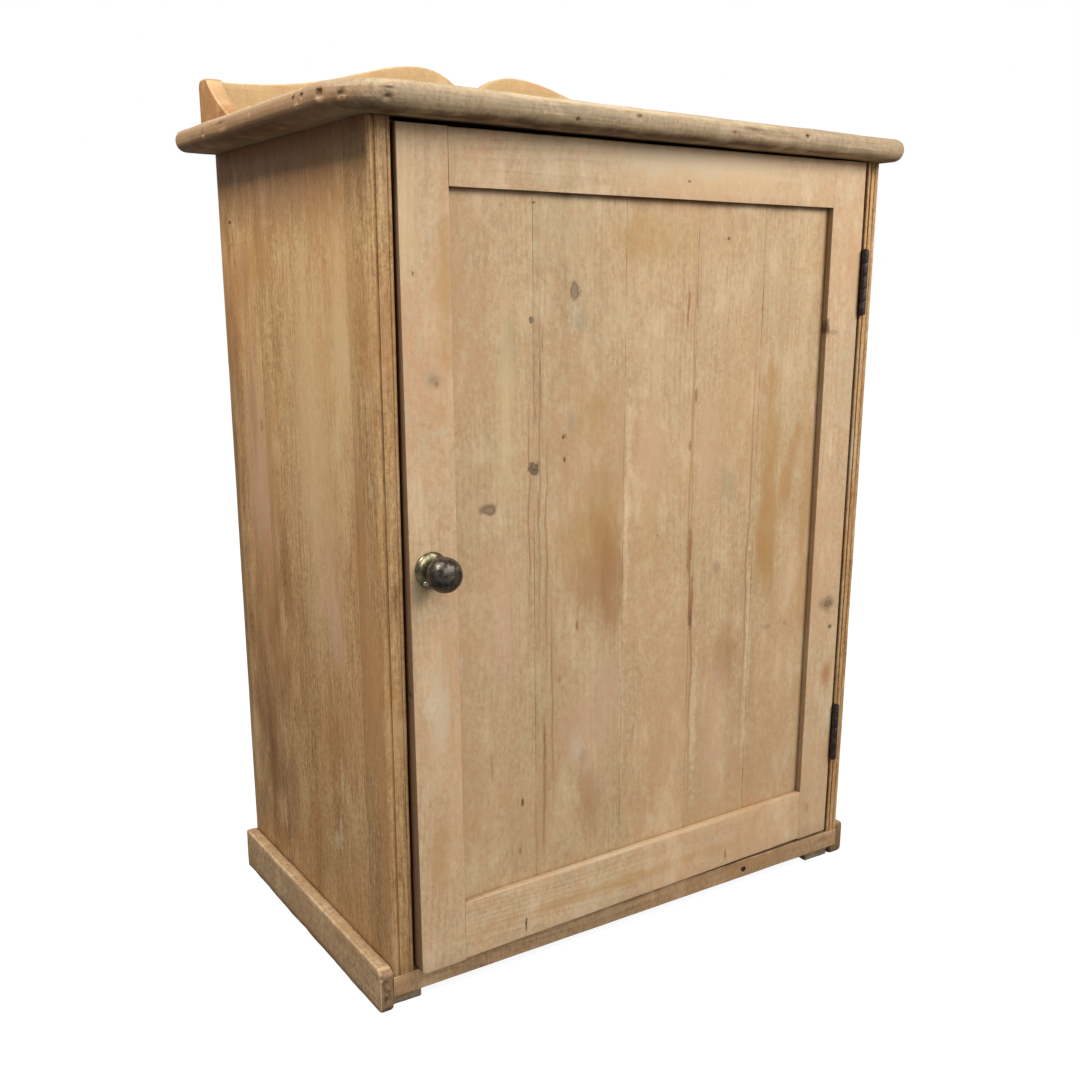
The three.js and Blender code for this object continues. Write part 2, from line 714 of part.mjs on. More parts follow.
function buildDoor() {
  const swing = new THREE.Group(); // turns about the hinge pins
  const door = new THREE.Group(); // back in the carcass frame
  const knobX = doorLeft + knobFromEdge;
  const spindleHole = rod(spindleRadius + spindleFit, doorThickness + 2 * overrun).rotateX(-Math.PI / 2)
    .translate(knobX, -overrun, knobHeight);
  door.add(buildStile('free', doorLeft, stileWidthFree, [doorArris, openingArris], [spindleHole]));
  const recesses = Object.values(hingeHeights).map(hingeRecess);
  door.add(buildStile('hinge', openingRight, stileWidthHinge, [openingArris, doorArris], recesses));
  for (const [name, rail] of Object.entries(rails)) door.add(buildRail(name, rail));
  door.add(buildPanel());
  door.add(buildKnob(knobX, knobHeight));
  for (const [name, height] of Object.entries(hingeHeights)) {
    const low = height - hingeLength / 2;
    door.add(piece(`hinge_${name}_door_leaf`, hingeLeaf(true), iron, hingeX, hingeY, low));
  }
  door.position.set(-hingeX, -hingeY, 0);
  swing.add(door);
  swing.position.set(hingeX, hingeY, 0);
  swing.rotation.z = doorAjarAngle;
  return swing;
}

function buildHingeFrameParts() {
  const group = new THREE.Group();
  for (const [name, height] of Object.entries(hingeHeights)) {
    const low = height - hingeLength / 2;
    group.add(piece(`hinge_${name}_frame_leaf`, hingeLeaf(false), iron, hingeX, hingeY, low));
    group.add(piece(`hinge_${name}_pin`, hingePin(), iron, hingeX, hingeY, low - seatFit));
  }
  return group;
}

// The whole cupboard, moved so that its origin is on the floor in the middle of its box.
const cupboard = new THREE.Group();
cupboard.add(buildSide('left', sideThicknessLeft, false), buildSide('right', sideThicknessRight, true));
cupboard.add(buildBottom(), buildBack(), buildTop(), buildGallery(), buildShelves(), buildInnerStrips());
cupboard.add(buildBase(), buildHingeFrameParts(), buildDoor());
const middleX = (carcassWidth + topOverhangRight - topOverhangLeft) / 2;
const middleY = (carcassDepth - Math.max(topOverhangFrontLeft, topOverhangFrontRight)) / 2;
cupboard.position.set(-middleX, -middleY, runnerDrop);
cupboard.updateMatrixWorld(true);

export default cupboard;
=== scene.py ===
"""Dresses the jelly cupboard: worn stripped pine boards, an old bronze knob and iron butt hinges.

The dataclasses give places and lengths in millimetres in the carcass frame, apart from weld, bump and
floor_size, which are in metres. In that frame x = 0 is the outer face of the left side, y = 0 the
carcass front and z = 0 the underside of the bottom board. Bench.place turns such a point into the
shared frame in metres.
"""

import json
import logging
import math
import random
from dataclasses import dataclass, field
from enum import Enum
from math import radians

import bmesh
import bpy
from mathutils import Matrix, Vector, noise


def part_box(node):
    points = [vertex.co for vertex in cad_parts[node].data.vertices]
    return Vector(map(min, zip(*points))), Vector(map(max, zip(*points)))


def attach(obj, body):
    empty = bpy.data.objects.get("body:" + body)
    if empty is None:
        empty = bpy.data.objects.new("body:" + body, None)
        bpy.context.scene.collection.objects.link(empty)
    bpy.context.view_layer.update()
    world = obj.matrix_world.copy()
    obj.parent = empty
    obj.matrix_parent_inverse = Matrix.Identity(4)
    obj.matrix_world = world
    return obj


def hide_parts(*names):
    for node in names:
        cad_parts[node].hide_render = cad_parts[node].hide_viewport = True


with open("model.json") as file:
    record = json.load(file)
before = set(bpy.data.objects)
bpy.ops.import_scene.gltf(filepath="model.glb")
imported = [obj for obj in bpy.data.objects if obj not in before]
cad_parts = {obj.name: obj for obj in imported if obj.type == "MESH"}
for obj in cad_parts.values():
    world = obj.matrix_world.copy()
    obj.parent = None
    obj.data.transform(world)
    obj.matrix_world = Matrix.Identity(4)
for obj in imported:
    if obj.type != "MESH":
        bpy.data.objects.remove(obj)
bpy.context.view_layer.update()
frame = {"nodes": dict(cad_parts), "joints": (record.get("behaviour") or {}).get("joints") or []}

log = logging.getLogger("jelly_cupboard")
MM = 0.001
Colour = tuple[int, int, int]
Triple = tuple[float, float, float]
Mesh = bmesh.types.BMesh
Dents = tuple[tuple[float, float, float, float, float], ...]


def linear(colour: Colour) -> Triple:
    """Turns an everyday colour, 0 to 255, into the linear one that shaders hold, 0 to 1."""
    shares = (part / 255 for part in colour)
    return tuple(s / 12.92 if s <= 0.04045 else ((s + 0.055) / 1.055) ** 2.4 for s in shares)


def linked(name: str, data: bpy.types.ID) -> bpy.types.Object:
    """Adds a named object with this data to the scene."""
    made = bpy.data.objects.new(name, data)
    bpy.context.scene.collection.objects.link(made)
    return made


# Shader expressions


class Term:
    """A shader value that can be used in Python sums; each operator adds its Math node."""

    def __init__(self, recipe: "Recipe", socket: bpy.types.NodeSocket) -> None:
        """Wraps one output socket of a recipe."""
        self.recipe = recipe
        self.socket = socket

    def _math(self, operation: str, first: "Term | float", second: "Term | float" = 0.0) -> "Term":
        """Adds a Math node on two numbers."""
        return self.recipe.node("ShaderNodeMath", {"operation": operation}, {0: first, 1: second})

    def __add__(self, other: "Term | float") -> "Term":
        """Adds."""
        return self._math("ADD", self, other)

    __radd__ = __add__

    def __sub__(self, other: "Term | float") -> "Term":
        """Takes away."""
        return self._math("SUBTRACT", self, other)

    def __rsub__(self, other: float) -> "Term":
        """Takes this away from a number."""
        return self._math("SUBTRACT", other, self)

    def __mul__(self, other: "Term | float") -> "Term":
        """Multiplies."""
        return self._math("MULTIPLY", self, other)

    __rmul__ = __mul__

    def __pow__(self, power: float) -> "Term":
        """Raises to a power."""
        return self._math("POWER", self, power)

    def fraction(self) -> "Term":
        """Returns what is left past the whole number."""
        return self._math("FRACT", self)

    def root(self) -> "Term":
        """Returns the square root."""
        return self._math("SQRT", self)

    def clamped(self) -> "Term":
        """Returns the value kept between 0 and 1."""
        return self._math("MINIMUM", self._math("MAXIMUM", self, 0.0), 1.0)

    def ramp(self, low: float, high: float) -> "Term":
        """Returns a smooth step: 0 at low, 1 at high."""
        settings = {"interpolation_type": "SMOOTHSTEP"}
        return self.recipe.node("ShaderNodeMapRange", settings, {"Value": self, 1: low, 2: high})


class Recipe:
    """The node tree of a material or the world, built by expressions and the node method."""

    def __init__(self, holder: bpy.types.Material | bpy.types.World) -> None:
        """Empties the tree of a new material or world."""
        self.holder = holder
        holder.use_nodes = True
        self.tree = holder.node_tree
        self.tree.nodes.clear()

    def node(self, kind: str, settings: dict, inputs: dict, output: str | int = 0) -> Term:
        """Adds any node.

        Args:
            kind: The node's type name.
            settings: Its properties.
            inputs: Socket name or number to a value, colour, vector or Term.
            output: The output that the Term stands for.

        Returns:
            The chosen output as a Term.
        """
        made = self.tree.nodes.new(kind)
        for name, value in settings.items():
            setattr(made, name, value)
        for name, value in inputs.items():
            socket = made.inputs[name]
            if isinstance(value, Term):
                self.tree.links.new(value.socket, socket)
            elif isinstance(value, tuple) and socket.type == "RGBA":
                socket.default_value = (*value, 1.0)
            else:
                socket.default_value = value
        return Term(self, made.outputs[output])

    def attribute(self, name: str, output: str = "Fac") -> Term:
        """Reads what the piece's mesh carries under a name: a number, or a vector by its output."""
        return self.node("ShaderNodeAttribute", {"attribute_name": name}, {}, output)

    def split(self, vector: Term) -> tuple[Term, Term, Term]:
        """Returns a vector's three parts."""
        first = self.node("ShaderNodeSeparateXYZ", {}, {0: vector}, 0)
        outputs = first.socket.node.outputs
        return first, Term(self, outputs[1]), Term(self, outputs[2])

    def stretch(self, vector: Term, scales: Triple) -> Term:
        """Scales a vector by three numbers."""
        return self.node("ShaderNodeVectorMath", {"operation": "MULTIPLY"}, {0: vector, 1: scales})

    def noise(self, vector: Term, scales: Triple, detail: float = 2.0, rough: float = 0.5) -> Term:
        """Reads cloud noise, about 0 to 1, at a vector that is scaled first."""
        place = self.stretch(vector, scales)
        inputs = {"Vector": place, "Scale": 1.0, "Detail": detail, "Roughness": rough}
        return self.node("ShaderNodeTexNoise", {}, inputs, "Fac")

    def mix(self, factor: Term | float, first: Term | Colour, second: Term | Colour) -> Term:
        """Blends two colours, each a Term or an everyday colour."""
        settings = {"data_type": "RGBA", "clamp_factor": True}
        first, second = (c if isinstance(c, Term) else linear(c) for c in (first, second))
        return self.node("ShaderNodeMix", settings, {0: factor, 6: first, 7: second}, 2)

    def brighten(self, colour: Term, scale: Term) -> Term:
        """Scales a colour's brightness."""
        return self.node("ShaderNodeVectorMath", {"operation": "SCALE"}, {0: colour, 3: scale})

    def surface(self, sockets: dict, height: Term, bump: float) -> bpy.types.Material:
        """Ends the material with a Principled shader.

        Args:
            sockets: The shader's inputs.
            height: How high the surface stands at each point, about 0 to 1.
            bump: What a height of 1 is in metres.

        Returns:
            The finished material.
        """
        inputs = {"Height": height, "Strength": 1.0, "Distance": bump}
        sockets = {**sockets, "Normal": self.node("ShaderNodeBump", {}, inputs)}
        return self.ended(self.node("ShaderNodeBsdfPrincipled", {}, sockets), "Material")

    def ended(self, shader: Term, kind: str) -> bpy.types.Material | bpy.types.World:
        """Links a shader to the output of the material or world, and returns that."""
        end = self.tree.nodes.new(f"ShaderNodeOutput{kind}")
        self.tree.links.new(shader.socket, end.inputs["Surface"])
        return self.holder


# Marks on the wood

KNOT_HEART = (160, 138, 106)
# Dark brown for painted shade and soiling in hollows.
SHADE_AND_DIRT_TONE = (84, 54, 34)
RAGGED = 1.7  # how far noise breaks a mark's edge
SMALL = 13.0  # half width in millimetres, below which the edge breaks finely
SLENDER = 6.0  # times taller than wide, from which a mark drifts as a line does
LINE_DRIFT = 0.012  # how far a line drifts, in metres


class MarkKind(Enum):
    """What a mark on the wood is: colour, strength, softness of the edge, and paleness of its core."""

    KNOT = ((106, 84, 64), 0.8, 0.45, 0.45)
    DARK_KNOT = ((72, 58, 46), 0.85, 0.4, 0.5)
    FAINT_KNOT = ((128, 106, 80), 0.5, 0.7, 0.5)
    OLIVE = ((152, 142, 112), 0.5, 0.95, 0.0)
    RED = ((160, 112, 74), 0.45, 0.85, 0.0)
    BROWN = ((158, 110, 70), 0.5, 0.45, 0.0)
    ORANGE = ((176, 128, 76), 0.6, 0.75, 0.0)
    GOLD = ((178, 136, 78), 0.5, 0.95, 0.0)
    # Pale dust; its long row on the door's top rail is painted light.
    DUST = ((208, 192, 164), 0.5, 0.9, 0.0)
    PALE = ((214, 184, 138), 0.55, 0.95, 0.0)
    PINK = ((206, 168, 138), 0.5, 0.95, 0.0)
    # The tint of the painted shade in the band under the top's overhang on the side.
    MAUVE = ((178, 132, 108), 0.6, 0.9, 0.0)
    HONEY = ((204, 150, 94), 0.5, 0.95, 0.0)
    SHADE = ((122, 80, 44), 0.5, 0.98, 0.0)
    # Painted deep shade under the top's nose; on the side it darkens the rear edge.
    GRIME = ((70, 50, 38), 0.5, 0.95, 0.0)
    # Cracks; its long rows under the top's nose and along the door's foot are painted shade lines.
    CRACK = ((74, 50, 34), 0.8, 0.6, 0.0)
    SPLIT = ((148, 92, 52), 0.7, 0.65, 0.0)
    LINE = ((150, 102, 64), 0.55, 0.7, 0.0)
    # Pale lines in the wood; its long rows on the top's rim and the door's bottom rail are painted
    # highlights.
    PALE_LINE = ((222, 202, 164), 0.42, 0.9, 0.0)
    HOLE = ((34, 24, 18), 1.0, 0.4, 0.0)


@dataclass(frozen=True)
class Mark:
    """A mark on the wood, such as a knot, stain, hole, painted shade and painted highlight: an ellipsoid's
    middle and half sizes, in carcass millimetres.
    """

    kind: MarkKind
    x: float
    z: float
    across: float
    up: float
    y: float = 0.0
    deep: float = 45.0

    def put_on(self, colour: Term, place: Term, grit: Term, bench: "Bench") -> Term:
        """Adds the mark to a colour, its edge broken by noise.

        Args:
            colour: The wood's colour so far.
            place: The object coordinates, bent for a slender mark.
            grit: Noise round 0 that breaks the mark's edge.
            bench: Turns the mark's place into the shared frame.

        Returns:
            The colour with the mark.
        """
        r = colour.recipe
        tone, strength, soft, core = self.kind.value
        centre = tuple(bench.place(self.x, self.y, self.z))
        scales = (1 / (self.across * MM), 1 / (self.deep * MM), 1 / (self.up * MM))
        offset = r.node("ShaderNodeVectorMath", {"operation": "SUBTRACT"}, {0: place, 1: centre})
        reach = r.node("ShaderNodeVectorMath", {"operation": "LENGTH"}, {0: r.stretch(offset, scales)}, 1)
        broken = reach + grit * RAGGED
        if core:
            tone = r.mix((1.0 - broken.ramp(0.25, 0.65)) * core, tone, KNOT_HEART)
        return r.mix((1.0 - broken.ramp(1.0 - soft, 1.0)) * strength, colour, tone)


def marks(table: str) -> tuple[Mark, ...]:
    """Reads marks between commas, each a kind's name and a Mark's numbers, in the order they go on."""
    rows = (row.split() for row in table.split(","))
    return tuple(Mark(MarkKind[kind], *map(float, numbers)) for kind, *numbers in rows)


# Finishes


@dataclass(frozen=True)
class PineFinish:
    """Old stripped pine: its colours, how strongly its grain shows, and the marks on it."""

    name: str
    slot: str
    pale: Colour
    deep: Colour
    warm: Colour
    edge: Colour
    grey: Colour = (188, 170, 136)
    cut: Colour = (150, 114, 78)
    ring: float = 0.5
    band: float = 0.9
    blotch: float = 0.55
    chalk: float = 0.3
    tinge: float = 0.4
    grit: float = 1.0
    streaks: float = 0.5
    spread: float = 0.14
    shade_and_dirt: float = 0.7
    rough: float = 0.56
    foot_shade: float = 0.1
    rings_per_metre: float = 190.0
    level: float = 0.93
    bump: float = 0.0005
    marks: tuple[Mark, ...] = ()

    def dress(self, bench: "Bench") -> bpy.types.Material:
        """Makes the material.

        Args:
            bench: Gives the places of the marks.

        Returns:
            The pine material.
        """
        r = Recipe(bpy.data.materials.new(self.name))
        grain = r.attribute("grain", "Vector")
        place = r.node("ShaderNodeTexCoord", {}, {}, "Object")
        across, through, _ = r.split(grain)
        sway = r.noise(grain, (5, 5, 1.3)) - 0.5
        wander = r.noise(grain, (40, 40, 3))
        from_heart = across + sway * 0.06
        rings = (from_heart * from_heart + through * through).root() * self.rings_per_metre
        phase = (rings + wander * 1.3).fraction()
        late = phase ** 3.0 * (1.0 - phase.ramp(0.9, 1.0))
        cloud = r.noise(place, (6.5, 6.5, 3.6), 3, 0.6)
        patch = r.noise(place, (30, 30, 13), 3, 0.62)
        shown = (cloud * 2.0).fraction().ramp(0.2, 0.8) * 0.75 + 0.25
        band = r.noise(grain, (36, 36, 1.2), 3, 0.6)
        fibre = r.noise(grain, (640, 640, 22), 3, 0.6)
        streak = r.noise(grain, (300, 300, 20), 2, 0.6)
        mottle = r.noise(place, (230, 230, 130), 3, 0.65)
        fleck = r.noise(place, (560, 560, 330), 2, 0.6)
        tinge = r.noise(place, (95, 95, 60), 2, 0.6)

        grit = ((mottle - 0.5) * 0.9 + (fleck - 0.5) * 0.9) * self.grit
        lines = ((streak - 0.5) + (fibre - 0.5) * 0.6) * self.streaks
        tone = 0.4 + (band - 0.5) * self.band + late * shown * self.ring + grit + lines
        colour = r.mix(tone.clamped(), self.pale, self.deep)
        colour = r.mix(cloud.ramp(0.44, 0.68) * self.blotch, colour, self.warm)
        colour = r.mix((1.0 - cloud.ramp(0.3, 0.48)) * self.blotch * 0.7, colour, self.grey)
        colour = r.mix(tinge.ramp(0.54, 0.72) * self.tinge, colour, self.warm)
        colour = r.mix((1.0 - tinge.ramp(0.28, 0.46)) * self.tinge, colour, self.grey)
        colour = r.mix(patch.ramp(0.5, 0.76) * self.chalk, colour, self.edge)
        colour = r.mix(fleck.ramp(0.58, 0.72) * self.chalk, colour, self.edge)
        colour = r.mix((1.0 - fleck.ramp(0.27, 0.36)) * 0.45, colour, self.deep)
        drift = r.noise(place, (4, 4, 13)) - 0.5
        shift = r.node("ShaderNodeCombineXYZ", {}, {0: drift * LINE_DRIFT})
        bent = r.node("ShaderNodeVectorMath", {"operation": "ADD"}, {0: place, 1: shift})
        for mark in self.marks:
            edge_noise = (mottle if mark.across < SMALL else patch) - 0.5
            where = bent if mark.up > SLENDER * mark.across else place
            colour = mark.put_on(colour, where, edge_noise, bench)
        # Painted shade: each pine piece grows darker towards the floor, by foot_shade at z = 0.
        _, _, up = r.split(place)
        low = 1.0 - up.ramp(0.0, 1.0)
        tint = r.attribute("tint") * self.spread
        colour = r.brighten(colour, self.level + tint + (patch - 0.5) * 0.16 - low * self.foot_shade)
        colour = r.mix(r.attribute("arris") * patch.ramp(0.3, 0.7) * 0.5, colour, self.edge)
        colour = r.mix(r.attribute("end_grain") * (0.5 + mottle * 0.5), colour, self.cut)
        # Painted shade and soiling: hollows found by ambient occlusion, and the door frame's shaded faces,
        # go towards the dark brown.
        hollow = r.node("ShaderNodeAmbientOcclusion", {"samples": 5}, {"Distance": 0.01}, "AO")
        shade_and_dirt = ((1.0 - hollow).ramp(0.3, 1.0) * self.shade_and_dirt + r.attribute("grime") * 0.8).clamped()
        colour = r.mix(shade_and_dirt, colour, SHADE_AND_DIRT_TONE)
        height = late * shown * 0.3 + fibre * 0.4 + mottle * 0.6 + fleck * 0.25
        sockets = {
            "Base Color": colour,
            "Roughness": self.rough + (fibre - 0.5) * 0.16 + cloud * 0.08,
            "Specular IOR Level": 0.3,
        }
        return r.surface(sockets, height, self.bump)


@dataclass(frozen=True)
class MetalFinish:
    """Old metal: a bright tone, the patina over it, and how polished it is."""

    name: str
    slot: str
    bright: Colour
    patina: Colour
    cover: float
    gloss: float
    metallic: float = 1.0
    grit: float = 300.0
    bump: float = 0.00012
    coat: float = 0.0

    def dress(self, bench: "Bench") -> bpy.types.Material:
        """Makes the material; bench is not needed."""
        r = Recipe(bpy.data.materials.new(self.name))
        place = r.node("ShaderNodeTexCoord", {}, {}, "Object")
        cloud = r.noise(place, (self.grit / 3,) * 3, 3, 0.6)
        pits = r.noise(place, (self.grit * 2,) * 3, 2, 0.6)
        hollow = r.node("ShaderNodeAmbientOcclusion", {"samples": 6}, {"Distance": 0.004}, "AO")
        old = (cloud.ramp(self.cover - 0.25, self.cover + 0.25) + (1.0 - hollow) * 0.6).clamped()
        worn = r.attribute("arris") * 0.35
        colour = r.mix((1.0 - old - worn).clamped(), self.patina, self.bright)
        sockets = {
            "Base Color": colour,
            "Metallic": self.metallic - old * 0.25,
            "Roughness": self.gloss + old * 0.16 + (pits - 0.5) * 0.12,
            "Coat Weight": self.coat,
            "Coat Roughness": 0.1,
        }
        return r.surface(sockets, cloud * 0.7 + pits * 0.5, self.bump)


# Painted shade: the long SHADE row at z 845 darkens the panel's top under the top rail.
PANEL_MARKS = marks("""
KNOT 234 746 8 12, DUST 236 722 12 22, DARK_KNOT 180 717 3.4 4, DARK_KNOT 182 564 8.8 8.2,
CRACK 182 563 3 3, PINK 122 524 30 26, KNOT 126 525 15.5 9.5, CRACK 219 595 2.2 3.4, CRACK 221 571 2 4,
FAINT_KNOT 444 424 8 10, DUST 240 236 20 30, FAINT_KNOT 247 226 7 15, FAINT_KNOT 214 325 4 6,
SPLIT 160 132 2.6 6, CRACK 164 190 2.4 6, FAINT_KNOT 125 240 3 20, FAINT_KNOT 145 828 4 3,
CRACK 183 832 3 1.6, FAINT_KNOT 532 337 10 4, FAINT_KNOT 564 337 4 4, FAINT_KNOT 502 728 3.4 3.4,
CRACK 351 474 1.6 1.8, SPLIT 404 632 3.4 10, SPLIT 396 575 4 7, CRACK 445 805 3 2.6, GOLD 256 470 52 90,
BROWN 286 432 18 78, GOLD 279 482 26 52, RED 236 410 16 44, RED 262 430 40 80, SPLIT 238 384 3 8,
ORANGE 520 650 20 48, ORANGE 570 580 8 22, GOLD 522 500 20 100, GOLD 340 500 26 90, RED 252 172 26 50,
RED 464 316 28 54, RED 470 826 24 18, GOLD 320 800 80 36, ORANGE 562 556 11 34, ORANGE 551 524 14 40,
ORANGE 528 468 24 88, GOLD 526 420 18 60, GOLD 524 590 22 60, SPLIT 400 448 6 40, SPLIT 405 388 5 44,
CRACK 407 366 2.4 18, SPLIT 388 730 2.6 34, OLIVE 456 524 18 56, PINK 140 400 36 150, LINE 398 620 2.2 240,
LINE 407 300 2.2 200, LINE 193 190 2.8 100, SPLIT 195 252 1.9 44, GOLD 258 610 28 80, LINE 189 560 1.8 260,
LINE 176 520 1.8 190, LINE 198 470 2.0 170, SPLIT 192 692 0.9 13, SPLIT 189.5 668 0.8 15,
SPLIT 187 644 0.9 14, SPLIT 183 620 0.8 15, OLIVE 243 716 14 22, OLIVE 230 612 9 18, SPLIT 221 596 3.6 4,
OLIVE 150 690 16 50, LINE 205 300 1.6 170, LINE 493.5 450 2.2 330, PALE_LINE 306 510 6 170,
PALE_LINE 300 300 2.4 120, PALE_LINE 413 240 8 140, DUST 88 362 4 26, PALE_LINE 500 300 6.4 180,
GOLD 590 470 14 330, PALE 148 640 14 190, PINK 340 560 26 120, PINK 420 560 22 100, SHADE 345 845 300 16,
PINK 262 270 62 120, PINK 452 200 34 120
""")
# Painted light: the long pale rows at z 872 and z 884 lighten the top rail under the top's nose; painted
# highlight: the long pale line at z 95 lightens the bottom rail's top edge.
FRAME_MARKS = marks("""
OLIVE 60 662 15 14, FAINT_KNOT 61 660 9 7, SPLIT 64 656 4 5, CRACK 41 761 2 3.6, FAINT_KNOT 631 356 18 12,
FAINT_KNOT 629 356 14 9, KNOT 632 355 10 5, DARK_KNOT 638 323 4.4 3, ORANGE 637 258 19 34,
RED 636 256 14 26, CRACK 602 706 4 13, FAINT_KNOT 612 700 12 4, RED 615 72 6 10, CRACK 162 44 2 11 -13,
SPLIT 468 44 3 9, GOLD 300 56 260 12 -8, PALE_LINE 330 95 250 3 -8, GOLD 55 160 16 60 -13,
DUST 56 320 18 90 -10, OLIVE 38 450 13 18, CRACK 378 862 3 2, PALE 430 872 240 34, DUST 390 884 260 26,
DUST 46 330 11 24, PALE 34 830 24 110, GOLD 74 740 14 180
""")
# Painted shade: the mauve row at z 890, the red row at z 838 and the shade row at z 850 darken the band
# under the top's overhang; the long dark band at y 414 darkens the rear edge.
SIDE_MARKS = marks("""
HOLE 0 822 4 2.2 385 5, RED 0 690 6 12 382 12, FAINT_KNOT 0 690 6 7 98 9, FAINT_KNOT 0 626 6 8 142 9,
DUST 0 555 6 14 16 4, ORANGE 0 490 6 90 46 14, DUST 0 130 6 16 140 14, PALE_LINE 0 120 6 80 303 4,
DARK_KNOT 0 590 6 8 316 5, RED 0 760 6 60 350 40, SHADE 0 240 16 280 345 110, PALE 0 590 16 330 160 105,
RED 0 470 16 190 40 36, SHADE 0 420 16 120 265 22, ORANGE 0 780 16 46 300 60, PALE_LINE 0 560 6 14 18 3,
MAUVE 0 890 8 46 200 380, RED 0 500 7 300 330 60, PALE 0 680 16 240 80 50, SHADE 0 850 16 80 390 60,
SHADE 0 150 16 130 315 56, DUST 0 215 6 40 118 5, DUST 0 150 6 26 128 7, DUST 645 450 20 500 0 30,
HONEY 0 260 14 280 12 20, HONEY 0 380 14 260 38 34, GRIME 0 450 10 480 414 12, PINK 0 540 14 170 330 60,
PINK 0 430 14 130 130 50, RED 0 600 14 90 340 16, RED 0 330 14 120 225 12, SHADE 0 600 14 200 398 34,
RED 0 838 14 44 230 260, RED 0 405 14 60 250 26, SHADE 0 205 14 70 356 34
""")
# Painted shadow: the long rows at z 24 and z 28 draw the door's shadow along the bottom board's front.
RAIL_MARKS = marks("""
HOLE 505 12 5 4 0 6, SHADE 330 24 340 6 0 8, CRACK 330 28 340 3.4 0 6
""")
# Painted shade: the rows at z 897 to 906 darken the nose's lower half and the underside of its left end;
# painted highlight: the two long pale lines at z 922 lighten its upper rim.
NOSE_MARKS = marks("""
HOLE -45.5 915.5 4 3.2 35.6 4.4, HOLE -43 914 5 3.6 0.7 5, PALE_LINE -43 908.5 5 4 2 6,
CRACK -32.5 911 5 4 -22 6, CRACK 1 909.5 7 2 -46 6, CRACK -42 921.5 5 2 27.7 6, CRACK 203 906 3 2.4 -43 5,
FAINT_KNOT 278 915 6 3 -42 5, CRACK 518.7 915.5 3 3.4 -34.4 5, SPLIT 498 912.8 12 1 -35.5 5,
SPLIT 408 910 4 3 -38 5, CRACK -45.8 911 5 2 321 4, PALE_LINE -45.5 916 5 4 173 6,
SPLIT -41.5 903 5 5 158 4, SHADE -45.8 914 8 9 50 14, SHADE -44 912 8 10 230 30,
PALE_LINE 300 922 420 4 -40 12, PALE_LINE -41 922 9 4 200 260, SHADE 300 899 480 7 -34 26,
CRACK 300 897 480 6 -30 26, SHADE -36 902 32 12 190 300, SHADE -36 900 30 14 190 290,
SHADE -44 906 18 9 190 270, GRIME -40 902 26 11 170 240, GRIME 300 899 480 6 -36 26,
GRIME -6 901 50 8 -30 30
""")
BASE_MARKS = marks("""
ORANGE -9 34 12 9 2 9, HOLE -9 2 4 6 0 4, CRACK -11 18 4 8 0 4, HOLE -7 -10 5 3 3 6,
SHADE -15 -14 8 9 200 260
""")


